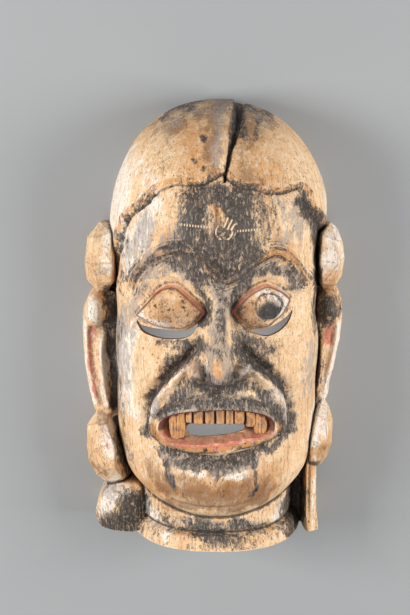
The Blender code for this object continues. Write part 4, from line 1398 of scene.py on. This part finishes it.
def face_line_colours(w, place, colour, paint, speck, blotch):
    """The red rims of the lids and lips, the ochre edge of the scalp, the eyes and the sign on the brow."""
    waver = w.times(w.minus(speck, 0.5), 3.0)
    broken = w.span(blotch, 0.46, 0.53)
    parts = w.axis(place, "Y")

    # painted shadow under the scalp's ledge, mixed with black flecks: black on the face side of the hairline
    under = w.span(w.sum("ABSOLUTE", w.plus(w.plus(w.field("hair"), waver), 0.9)), 1.1, 0.4, 0.0, 0.6)
    colour = w.mix(under, colour, paint.black)
    ball = w.field("ball")
    ring = w.span(w.off(w.plus(w.field("iris"), waver), 11.6), 1.5, 0.5, 0.0, 0.74)
    ring = w.times(ring, w.span(blotch, 0.36, 0.50, 0.45, 1.0))
    halo = w.span(w.plus(w.field("pupil"), waver), 10.0, 5.5, 0.0, 0.55)
    colour = w.mix(w.times(halo, w.span(ball, 0.4, 1.6)), colour, paint.slate)
    spot = w.span(w.plus(w.field("pupil"), waver), 6.8, 3.8, 0.0, 0.82)
    spot = w.times(w.sum("MAXIMUM", ring, spot), w.span(ball, 0.4, 1.6))
    colour = w.mix(w.times(spot, w.span(speck, 0.60, 0.50, 0.50, 1.0)), colour, paint.black)
    dots = w.span(w.noise(place, 290.0, 3.0, 0.7, 0.8), 0.585, 0.605)
    dots = w.times(dots, w.span(ball, 1.5, 4.0, 0.0, 0.85))
    colour = w.mix(dots, colour, paint.black)
    colour = w.mix(w.span(w.off(ball, 1.9), 0.9, 0.4, 0.0, 0.4), colour, paint.brown)
    lid = w.plus(w.field("lid"), w.times(waver, 0.5))
    upper = w.span(parts, 0.012, 0.019)
    rim = w.times(w.span(lid, 1.15, 0.5), w.plus(w.times(upper, 0.65), 0.14))
    colour = w.mix(w.times(rim, w.span(blotch, 0.40, 0.50, 0.6, 1.0)), colour, paint.red)
    inner = w.span(w.off(ball, 1.4), 0.9, 0.3, 0.0, 0.40)
    colour = w.mix(w.times(inner, upper), colour, paint.dark_red)

    lip = w.plus(w.field("lip"), w.times(waver, 0.5))
    below = w.span(parts, -0.079, -0.088)
    lower = w.span(parts, -0.087, -0.092)
    line = w.times(w.span(w.off(lip, 0.1), 1.6, 0.8), 0.9)
    colour = w.mix(w.times(line, w.minus(1.0, lower)), colour, paint.dark_red)
    gum = w.times(w.span(lip, -0.8, -2.2), w.minus(0.9, w.times(lower, 0.75)))
    colour = w.mix(gum, colour, paint.dark_red)
    across = w.axis(place, "X")
    across = w.off(across, MOUTH_MIDDLE)
    pocket = w.times(w.span(lip, -0.6, -2.0), w.span(across, 0.042, 0.046, 0.0, 0.85))
    colour = w.mix(pocket, colour, paint.dark_red)
    outer = w.times(w.span(lip, 3.2, 5.0), w.span(lip, 9.4, 8.0, 0.0, 0.85))
    outer = w.times(w.times(outer, below), broken)
    colour = w.mix(outer, colour, paint.ochre)
    rosy = w.times(w.span(lip, -3.0, -0.5, 0.3, 1.0), w.span(lip, 4.8, 2.8))
    rosy = w.times(w.times(rosy, lower), w.span(blotch, 0.38, 0.6, 0.9, 0.45))
    colour = w.mix(rosy, colour, paint.red)

    sign = w.span(w.plus(w.field("sign"), w.times(waver, 0.3)), 0.95, 0.45, 0.0, 0.9)
    dashes = dash_mask(w, place)
    colour = w.mix(w.sum("MAXIMUM", sign, dashes), colour, paint.cream)
    fissure = w.span(w.plus(w.field("fissure"), w.times(waver, 0.35)), 0.9, 0.3, 0.0, 0.55)
    return w.mix(fissure, colour, paint.brown)


def dash_mask(w, place):
    """The row of small dashes on either side of the sign."""
    x = w.minus(w.times(w.axis(place, "X"), 1000.0), float(SHIFT[0]))
    y = w.minus(w.times(w.axis(place, "Y"), 1000.0), float(SHIFT[1]))
    beat = w.off(w.sum("FRACT", w.sum("DIVIDE", x, DASH_SPACING)), 0.5)
    beat = w.span(beat, 0.27, 0.17)
    total = 0.0
    for low, high, y_low, y_high in DASH_ROWS:
        middle = w.span(x, low, high, y_low, y_high, smooth=False)
        across = w.span(w.off(y, middle), 1.35, 0.75)
        along = w.times(w.span(x, low - 0.3, low + 0.3), w.span(x, high + 0.3, high - 0.3))
        total = w.plus(w.times(across, along), total)
    return w.times(w.times(total, beat), 0.85)


def bare_wood(name, paint):
    """Old unpainted wood inside the hollow: grey-brown and streaked, with dirt and painted shade in the gouge
    cuts.
    """
    made, w, shader = new_material(name)
    place = w.place()
    wood, worn = aged(w, place, 0.0022, 0.7, 0.5)
    cloud = w.noise(place, 24.0, 4.0, 0.6)
    colour = w.mix(w.span(cloud, 0.35, 0.7), paint.bare_wood, paint.brown)
    colour = w.mix(w.span(wood["Streak"], 0.4, 0.95, 0.0, 0.5), colour, paint.brown, "MULTIPLY")
    colour = w.mix(w.times(worn["Worn"], 0.5), colour, paint.cream)
    # dirt and painted shade in the gouge cuts and hollows
    colour = w.mix(w.times(worn["Dirt And Shade"], 0.5), colour, paint.black)
    amount = w.span(cloud, 0.62, 0.42, 0.0, 0.5)
    stain = w.group(groups()[0], Vector=place, Amount=amount, Flake_Size=0.005, Softness=0.2)
    colour = w.mix(w.times(stain["Mask"], 0.4), colour, paint.slate)
    colour = w.mix(w.times(wood["Check"], 0.8), colour, paint.black)
    height = w.weighted(w.times(wood["Streak"], -0.5), (wood["Check"], -1.0))
    surfaced(w, shader, colour, w.span(wood["Streak"], 0.2, 0.9, 0.86, 0.72), 0.3, height, 0.6, 0.0008)
    return made


def tooth_paint(name, paint):
    """Tan paint rubbed thin on the teeth, with dark red dirt and painted shade between them and along their
    flutes.
    """
    made, w, shader = new_material(name)
    place = w.place()
    wood, worn = aged(w, place, 0.0011, 0.0, 0.7)
    mottle = w.noise(place, 160.0, 4.0, 0.6)
    colour = w.mix(w.span(mottle, 0.38, 0.64), paint.tooth, paint.ochre)
    colour = w.mix(w.span(wood["Streak"], 0.35, 0.85, 0.0, 0.45), colour, paint.brown, "MULTIPLY")
    flakes = w.group(groups()[0], Vector=place, Amount=0.26, Flake_Size=0.0018, Softness=0.12)
    colour = w.mix(w.times(flakes["Mask"], 0.6), colour, paint.brown)
    colour = w.mix(w.times(worn["Worn"], 0.5), colour, paint.cream)
    # dirt and painted shade, in dark red, where the teeth meet and in their flutes
    colour = w.mix(w.times(worn["Dirt And Shade"], 0.85), colour, paint.dark_red)
    height = w.weighted(w.times(wood["Streak"], -0.4), (mottle, 0.5))
    surfaced(w, shader, colour, w.span(mottle, 0.3, 0.7, 0.5, 0.68), 0.42, height, 0.5, 0.0005)
    return made


def floor_paper(name, colour):
    """Plain pale paper with the faintest unevenness."""
    made, w, shader = new_material(name)
    place = w.place()
    soft = w.noise(place, 2.0, 2.0)
    fibre = w.noise(place, 700.0, 3.0)
    shade = w.span(w.plus(w.times(soft, 0.7), w.times(fibre, 0.3)), 0.3, 0.7, 0.02, 0.10)
    w.put(shader.inputs["Base Color"], w.mix(shade, colour, (0.2, 0.2, 0.2, 1.0)))
    w.put(shader.inputs["Roughness"], w.span(fibre, 0.3, 0.7, 0.82, 0.92))
    return made


def wear_the_frame(piece):
    """Ties a piece to the frame."""
    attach(piece, "root")
    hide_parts("mask")


def dress(piece, material, hidden=None):
    """Gives a piece its material, and the bare wood where its vertices lie inside."""
    piece.data.materials.clear()
    piece.data.materials.append(material)
    if hidden is not None:
        piece.data.materials.append(hidden)
        depth = read(piece.data.attributes["inside"].data, "value", 1, np.float32)[:, 0]
        for face_ in piece.data.polygons:
            face_.material_index = int(min(depth[v] for v in face_.vertices) > 0.95)


def number(label, note, default, unit="LENGTH", low=0.0):
    return FloatProperty(name=label, description=note, default=default, min=low, unit=unit)


class CarvingSizes(bpy.types.PropertyGroup):
    """Sizes of the finer carving"""

    tool_marks: number("Tool marks", "Depth of the knife's facets on the face", 0.00032)
    gouge_length: number("Gouge length", "Length of one cut of the gouge in the hollow", 0.026, low=0.005)
    gouge_depth: number("Gouge depth", "Height of the ridges between those cuts", 0.0013)
    side_grain: number("Side grain", "Size of the faces on the ears, plugs and collar", 0.00115, low=0.0008)
    flake_size: number("Flake size", "Size of one flake of the paint", 0.0034, low=0.0005)


def colour_property(label, note, digits):
    return FloatVectorProperty(
        name=label, description=note, subtype="COLOR", size=4, min=0, max=1, default=tone(digits)
    )


class PaintTones(bpy.types.PropertyGroup):
    """Colours of the old paint"""

    cream: colour_property("Cream", "Ground of the paint", "EBC89E")
    ochre: colour_property("Ochre", "Warmer parts of the ground", "CB9055")
    pale: colour_property("Pale", "Chalky white left in patches", "F1E6D8")
    black: colour_property("Black", "Black brushed over the ground", "1F1B1A")
    slate: colour_property("Slate", "Black rubbed thin", "4C4541")
    grey: colour_property("Grey", "Film of grime and worn black", "938A86")
    brown: colour_property("Brown", "Stains and grain", "5E3418")
    red: colour_property("Red", "Lips, lids and ears", "C4705A")
    dark_red: colour_property("Dark red", "Gums and the line of the lips", "5A1A14")
    tooth: colour_property("Tooth", "Paint of the teeth", "9C7658")
    bare_wood: colour_property("Bare wood", "The hollow", "8A6B4A")


class StageSettings(bpy.types.PropertyGroup):
    """Floor, lights and camera"""

    floor: colour_property("Floor", "Paper under the mask", "9A9B9B")
    key: number("Key light", "Power of the light on the left", 25.5, "POWER")
    fill: number("Fill light", "Power of the light on the right", 24.0, "POWER")
    under: number("Inner light", "Power of the light in the hollow", 0.15, "POWER")
    distance: number("Camera distance", "From the middle of the mask", 1.5)


class MaskSettings(bpy.types.PropertyGroup):
    """Everything that a user would change"""

    sizes: PointerProperty(type=CarvingSizes, name="Sizes", description="Sizes of the finer carving")
    paint: PointerProperty(type=PaintTones, name="Paint", description="Colours of the old paint")
    stage: PointerProperty(type=StageSettings, name="Stage", description="Floor, lights and camera")


def sculpt_fields(piece, extra=None):
    """Gives a fused piece its paint fields from where its vertices lie."""
    places = laid_out(piece.data)
    for name, values in paint_fields(places[:, 0], places[:, 1], BESIDE_BLACK).items():
        field(piece.data, name, values)
    field(piece.data, "edge", edges_and_hollows(piece.data, 2))
    within = np.zeros(len(places)) if extra is None else extra(places)
    field(piece.data, "inside", within)


class DANCE_MASK_OT_head(bpy.types.Operator):
    """Carve the head: face, scalp, hollow, eye slits and mouth"""

    bl_idname = "dance_mask.head"
    bl_label = "Head"

    def execute(self, context):
        settings = context.scene.dance_mask
        marks = settings.sizes.tool_marks / MM
        stations = head_stations((88, 150, 92), 0.0)
        points, x, y = arch(
            stations, lambda s: head_sizes(s, 0.0), places_across(222, 0.42), lambda a, b: face(a, b, marks)
        )
        fuller = np.where(x > 0, *CROWN_FULLER) * ease((y - 60) / 70)
        points[:, :, 0] += fuller * np.abs(x / HALF_SCALP) ** 2
        points[:, :, 1] += CHIN_LIFT * ease((-136 - y) / 34)
        head = closed_arch("head", points)
        skin = tree_of(placed(points.reshape(-1, 3)))
        long_cut = settings.sizes.gouge_length / MM
        deep_cut = settings.sizes.gouge_depth / MM

        def gouged(a, b):
            return back_of_nose(a, b) - deep_cut * (scoops(a, b, long_cut * 0.42, long_cut, 61) - 0.25)

        stations = head_stations((40, 50, 50), WALL)
        inner, _, _ = arch(stations, lambda s: head_sizes(s, WALL), places_across(84, 0.8), gouged)
        cutters = [
            closed_arch("hollow", inner, -30.0),
            neck_hole(),
            prism("mouth_hole", mouth_outline(), 60, 180),
        ]
        for i, line in enumerate(SLITS):
            cutters.append(prism(f"slit_{i}", slit_outline(line), 50, 180))
        cut(head, cutters)
        cleaned(head)
        index, gap = nearest(skin, read(head.data.vertices, "co", 3))
        field(head.data, "inside", ease((gap / MM - 1.0) / 5))
        flat_x, flat_y = x.ravel(), y.ravel()
        fields = {**paint_fields(flat_x, flat_y), **line_fields(flat_x, flat_y)}
        fields["black"] = fields["black"] * (1 - 0.85 * ease((fields["hair"] - 0.6) / 2.4) * (flat_y < 145))
        for name, values in fields.items():
            field(head.data, name, values[index])
        field(head.data, "edge", edges_and_hollows(head.data, 3))
        flake = settings.sizes.flake_size
        paint = old_paint("head paint", settings.paint, flake, 0.20, 0.55, 0.55, face_lines=True)
        dress(head, paint, bare_wood("bare wood", settings.paint))
        wear_the_frame(head)
        built["head"] = head
        return {"FINISHED"}


def neck_hole():
    """What the neck takes out of the collar and the head."""
    stations = np.linspace(-120.0, BASE_Y - 30, 24)
    across = np.sin(np.linspace(-math.pi / 2, math.pi / 2, 60))
    points, _, _ = arch(stations, lambda s: collar_sizes(0 * s + COLLAR_TOP_Y, WALL), across)
    return closed_arch("neck_hole", points, -33.0)


def tooth_row_tree():
    """Geometry nodes that set one rounded tooth on each point, sized and turned by the point's fields."""
    tree = bpy.data.node_groups.new("tooth row", "GeometryNodeTree")
    tree.interface.new_socket("Points", in_out="INPUT", socket_type="NodeSocketGeometry")
    tree.interface.new_socket("Thickness", in_out="INPUT", socket_type=FLOAT).default_value = 0.014
    tree.interface.new_socket("Finish", in_out="INPUT", socket_type="NodeSocketMaterial")
    tree.interface.new_socket("Teeth", in_out="OUTPUT", socket_type="NodeSocketGeometry")
    w = Wiring(tree)
    given = tree.nodes.new("NodeGroupInput").outputs
    cube = tree.nodes.new("GeometryNodeMeshCube")
    for axis, steps in zip(("X", "Y", "Z"), (3, 4, 3)):
        cube.inputs[f"Vertices {axis}"].default_value = steps
    soft = tree.nodes.new("GeometryNodeSubdivisionSurface")
    soft.inputs["Level"].default_value = 2
    w.put(soft.inputs["Mesh"], cube.outputs["Mesh"])
    size = w.node("GeometryNodeInputNamedAttribute", {"Name": "size"}, 0, data_type="FLOAT_VECTOR")
    turn = w.node("GeometryNodeInputNamedAttribute", {"Name": "turn"}, 0, data_type="FLOAT_VECTOR")
    deep = w.node("ShaderNodeCombineXYZ", {0: 1.0, 1: 1.0, 2: given["Thickness"]})
    scale = w.node("ShaderNodeVectorMath", {0: size, 1: deep}, operation="MULTIPLY")
    spread = tree.nodes.new("GeometryNodeInstanceOnPoints")
    w.put(spread.inputs["Points"], given["Points"])
    w.put(spread.inputs["Instance"], soft.outputs["Mesh"])
    w.put(spread.inputs["Rotation"], turn)
    w.put(spread.inputs["Scale"], scale)
    real = w.node("GeometryNodeRealizeInstances", {"Geometry": spread.outputs["Instances"]})
    done = w.node("GeometryNodeSetMaterial", {"Geometry": real, "Material": given["Finish"]})
    w.put(tree.nodes.new("NodeGroupOutput").inputs["Teeth"], done)
    return tree


def front_height(x, y):
    """How far the plain head stands out at a place."""
    half, depth = head_sizes(np.array([float(y)]), 0.0)
    return float(depth[0] * (1 - min(abs(x) / half[0], 1) ** SECTION_POWER) ** (1 / SECTION_POWER))


def small_teeth(finish):
    """The seven small teeth, as one object."""
    mesh = bpy.data.meshes.new("small_teeth")
    middles = [(x, (TEETH_TOP + end) / 2 + 1.0, front_height(x, end) - 7.6) for x, _, end in SMALL_TEETH]
    mesh.from_pydata(placed(middles).tolist(), [], [])
    sizes = [(2.12 * half * MM, (TEETH_TOP + 4 - end) * MM, 1.0) for _, half, end in SMALL_TEETH]
    mesh.attributes.new("size", "FLOAT_VECTOR", "POINT").data.foreach_set("vector", np.ravel(sizes))
    turns = [np.radians((-4 - 2 * (i % 2), 0.32 * x, 0)) for i, (x, _, _) in enumerate(SMALL_TEETH)]
    mesh.attributes.new("turn", "FLOAT_VECTOR", "POINT").data.foreach_set("vector", np.ravel(turns))
    row = new_object("small_teeth", mesh)
    tree = tooth_row_tree()
    modifier = row.modifiers.new("tooth row", "NODES")
    modifier.node_group = tree
    sockets = {item.name: item.identifier for item in tree.interface.items_tree if item.in_out == "INPUT"}
    modifier[sockets["Thickness"]] = 0.0145
    modifier[sockets["Finish"]] = finish
    settled(row)
    return row


def fang(name, outline):
    """A broad blunt tooth with two flutes down its front."""
    middle = np.mean(outline, axis=0)
    level = front_height(*middle)

    def front(x, y):
        made = rounded(outline, level + 1.5, 3.0, x, y)
        made = made - 0.3 * bell(x - middle[0] - 1.4, 1.2)
        return made + 0.25 * unevenness(x, y, 1.5, 9, 71)

    return relief_block(name, outline, front, rings=18, floor=level - 20, steps=8)


class DANCE_MASK_OT_teeth(bpy.types.Operator):
    """Set the seven small teeth and the two fangs in the mouth"""

    bl_idname = "dance_mask.teeth"
    bl_label = "Teeth"

    def execute(self, context):
        finish = tooth_paint("tooth paint", context.scene.dance_mask.paint)
        parts = [small_teeth(finish)]
        for side, outline in FANGS.items():
            parts.append(fang(f"fang_{side}", outline))
        work = bmesh.new()
        for part in parts:
            work.from_mesh(part.data)
            bpy.data.objects.remove(part)
        teeth = finished("teeth", work)
        cleaned(teeth)
        places = laid_out(teeth.data)
        shape = np.stack([unevenness(places[:, 0], places[:, 1], 2.2, 5, s) for s in (81, 82, 83)], 1) * 0.16
        teeth.data.vertices.foreach_set("co", placed(places + shape).ravel())
        field(teeth.data, "edge", edges_and_hollows(teeth.data, 1))
        field(teeth.data, "inside", np.zeros(len(places)))
        dress(teeth, finish)
        wear_the_frame(teeth)
        built["teeth"] = teeth
        return {"FINISHED"}


def under_rim():
    """Everything below the floor."""
    return block("under_rim", (-FAR, -FAR, -FAR), (FAR, FAR, 0))


def under_foot():
    """Everything past the foot of the collar."""
    return block("under_foot", (-FAR, BASE_Y - FAR, -FAR), (FAR, BASE_Y, FAR))


def roughened(piece, depth, seed):
    """Moves the skin in and out a little, as a knife leaves it."""
    places = laid_out(piece.data)
    normals = read(piece.data.vertex_normals, "vector", 3, np.float32)
    x, y, z = places.T
    height = unevenness(x + 0.4 * z, y, 9, 14, seed) + 0.5 * unevenness(x - 0.5 * z, y, 3, 9, seed + 1)
    height = height + 0.9 * (0.3 - scoops(x + 0.7 * z, y + 0.3 * z, 8, 13, seed + 2))
    quiet = ease(z / 6) * ease((y - BASE_Y) / 4)
    moved = places + normals * (height * depth * quiet)[:, None]
    piece.data.vertices.foreach_set("co", placed(moved).ravel())


def softened(piece):
    """Eases the steps that the fusing leaves, by averaging each vertex with its neighbours."""
    mesh = piece.data
    count = len(mesh.vertices)
    places = read(mesh.vertices, "co", 3)
    a, b = read(mesh.edges, "vertices", 2, np.int32).T
    met = np.bincount(a, minlength=count) + np.bincount(b, minlength=count)
    for share in (0.5, -0.52):
        total = np.zeros_like(places)
        np.add.at(total, a, places[b])
        np.add.at(total, b, places[a])
        places = places + share * (total / np.maximum(met, 1)[:, None] - places)
    mesh.vertices.foreach_set("co", places.ravel())


def facet_edges(piece):
    """The ends of a plug's sharper edges, in the layout's millimetres."""
    work = bmesh.new()
    work.from_mesh(piece.data)
    ends = []
    for edge in work.edges:
        if len(edge.link_faces) == 2 and edge.calc_face_angle() > 0.16:
            ends.append([v.co / MM - Vector(SHIFT) for v in edge.verts])
    work.free()
    return np.array(ends)


def gap_to_edges(ends, places):
    """Distance of each place to the nearest of the edges."""
    best = np.full(len(places), 12.0)
    for a, b in ends:
        step = b - a
        t = np.clip(((places - a) @ step) / (step @ step), 0, 1)
        best = np.minimum(best, np.linalg.norm(places - a - t[:, None] * step, axis=1))
    return best


def side_masses(side):
    """The ear, both plugs and the rail that joins them to the head on one side."""
    outline, edge, ridge, knob = EARS[side]
    masses = [relief_block(f"ear_{side}", outline, lambda x, y: ear_front(outline, edge, ridge, knob, x, y))]
    for level in ("upper", "lower"):
        masses.append(plug(f"{level}_{side}", *PLUGS[f"{level}_{side}"]))
    rail = ((-105, -180), (-88, 60)) if side == "left" else ((84, -180), (97, 60))
    masses.append(block(f"rail_{side}", (*rail[0], -15.0), (*rail[1], 18.0)))
    return masses


class DANCE_MASK_OT_ears(bpy.types.Operator):
    """Carve the ears with their faceted plugs"""

    bl_idname = "dance_mask.ears"
    bl_label = "Ears and plugs"

    def execute(self, context):
        settings = context.scene.dance_mask
        flake = settings.sizes.flake_size
        material = old_paint("ear paint", settings.paint, flake, 0.20, 0.5, 0.75, 0.40, facets=True)
        for seed, side in ((101, "left"), (111, "right")):
            masses = side_masses(side)
            facets = np.concatenate([facet_edges(mass) for mass in masses[1:3]])
            piece = fused(f"{side}_ear", masses, settings.sizes.side_grain)
            softened(piece)
            cut(piece, [under_rim()])
            roughened(piece, 0.42, seed)
            cleaned(piece)
            sculpt_fields(piece)
            field(piece.data, "facet", gap_to_edges(facets, laid_out(piece.data)))
            dress(piece, material)
            wear_the_frame(piece)
            built[piece.name] = piece
        return {"FINISHED"}


class DANCE_MASK_OT_collar(bpy.types.Operator):
    """Carve the banded collar, the lock on its left and the stub on its right"""

    bl_idname = "dance_mask.collar"
    bl_label = "Collar, lock and stub"

    def execute(self, context):
        settings = context.scene.dance_mask

        def worked(x, y):
            return 0.5 * unevenness(x, y, 14, 9, 91) + 0.3 * unevenness(x, y, 5, 5, 92)

        stations = np.linspace(COLLAR_TOP_Y, BASE_Y - 8, 70)
        across = np.sin(np.linspace(-math.pi / 2, math.pi / 2, 240))
        points, _, _ = arch(stations, lambda s: collar_sizes(s, 0.0), across, worked)
        masses = [
            closed_arch("bands", points, -15.0),
            relief_block("lock", LOCK, lock_front),
            relief_block("stub", STUB, stub_front),
        ]
        piece = fused("collar", masses, settings.sizes.side_grain)
        softened(piece)
        cut(piece, [neck_hole(), under_rim(), under_foot()])
        roughened(piece, 0.3, 121)
        cleaned(piece)

        def within(places):
            half, depth = collar_sizes(0 * places[:, 1] + COLLAR_TOP_Y, WALL)
            across_ = np.abs(places[:, 0]) / (half + 1.5)
            out = (places[:, 2] / (depth + 1.5)) ** SECTION_POWER + across_**SECTION_POWER
            return (out < 1.0).astype(float)

        sculpt_fields(piece, within)
        material = old_paint("collar paint", settings.paint, settings.sizes.flake_size, 0.48, 0.6, 0.6, 0.85)
        dress(piece, material, bare_wood("collar wood", settings.paint))
        wear_the_frame(piece)
        built["collar"] = piece
        return {"FINISHED"}


def area_light(name, place, target, size, power, seen=True):
    """A square soft light aimed at a point."""
    lamp = bpy.data.lights.new(name, "AREA")
    lamp.size = size
    lamp.energy = power
    light = new_object(name, lamp)
    light.location = place
    light.rotation_euler = (Vector(target) - Vector(place)).to_track_quat("-Z", "Y").to_euler()
    light.visible_camera = seen


class DANCE_MASK_OT_stage(bpy.types.Operator):
    """Lay the floor and set the lights and the camera"""

    bl_idname = "dance_mask.stage"
    bl_label = "Stage"

    def execute(self, context):
        stage = context.scene.dance_mask.stage
        work = bmesh.new()
        bmesh.ops.create_grid(work, x_segments=1, y_segments=1, size=3.0)
        floor = finished("floor", work)
        floor.data.materials.append(floor_paper("paper", stage.floor))
        floor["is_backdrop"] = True
        world = bpy.data.worlds.new("studio")
        world.use_nodes = True
        world.node_tree.nodes["Background"].inputs["Color"].default_value = (0.93, 0.96, 1.0, 1.0)
        world.node_tree.nodes["Background"].inputs["Strength"].default_value = 0.42
        context.scene.world = world
        context.scene.view_settings.view_transform = "Standard"
        area_light("key", (-1.30, 0.12, 1.02), (0, -0.02, 0.06), 0.6, stage.key)
        area_light("fill", (1.36, 0.05, 0.98), (0, -0.02, 0.06), 0.8, stage.fill)
        area_light("inner", (0.0, -0.06, 0.09), (0, -0.06, 0), 0.12, stage.under, seen=False)
        self.aim_camera(context, stage.distance)
        return {"FINISHED"}

    def aim_camera(self, context, reach):
        tilt = math.radians(CAMERA_TILT)
        up = Vector((0.0, math.cos(tilt), -math.sin(tilt)))
        shift = Vector(SHIFT * MM)
        middle = Vector((0.0, 0.0, 0.085)) + shift
        place = middle + reach * Vector((0.0, math.sin(tilt), math.cos(tilt)))
        aim = middle - Vector((0.0107, 0.0, 0.0)) + up * 0.0172
        back = (place - aim).normalized()
        right = Vector((0.0, 1.0, 0.0)).cross(back).normalized()
        top = back.cross(right)
        lens = bpy.data.cameras.new("camera")
        lens.sensor_width = SENSOR
        lens.lens = LENS
        camera = new_object("camera", lens)
        turn = Matrix((right, top, back)).transposed().to_4x4()
        camera.matrix_world = Matrix.Translation(place) @ turn
        context.scene.camera = camera


STEPS = (
    DANCE_MASK_OT_head,
    DANCE_MASK_OT_teeth,
    DANCE_MASK_OT_ears,
    DANCE_MASK_OT_collar,
    DANCE_MASK_OT_stage,
)


class DANCE_MASK_PT_panel(bpy.types.Panel):
    """Buttons that make the mask, piece by piece"""

    bl_idname = "DANCE_MASK_PT_panel"
    bl_label = "Dance Mask"
    bl_space_type = "VIEW_3D"
    bl_region_type = "UI"
    bl_category = "Dance Mask"

    def draw(self, context):
        settings = context.scene.dance_mask
        for group in (settings.sizes, settings.paint, settings.stage):
            box = self.layout.box()
            for key in group.__annotations__:
                box.prop(group, key)
        for step in STEPS:
            self.layout.operator(step.bl_idname)


CLASSES = (CarvingSizes, PaintTones, StageSettings, MaskSettings, *STEPS, DANCE_MASK_PT_panel)


def register():
    for item in CLASSES:
        bpy.utils.register_class(item)
    bpy.types.Scene.dance_mask = PointerProperty(
        type=MaskSettings, name="Dance mask", description="Settings of the dance mask"
    )


def unregister():
    del bpy.types.Scene.dance_mask
    for item in reversed(CLASSES):
        bpy.utils.unregister_class(item)


def main():
    register()
    bpy.ops.dance_mask.head()
    bpy.ops.dance_mask.teeth()
    bpy.ops.dance_mask.ears()
    bpy.ops.dance_mask.collar()
    seams([built[name] for name in ("head", "teeth", "left_ear", "right_ear", "collar")])
    bpy.ops.dance_mask.stage()


if __name__ == "__main__":
    main()
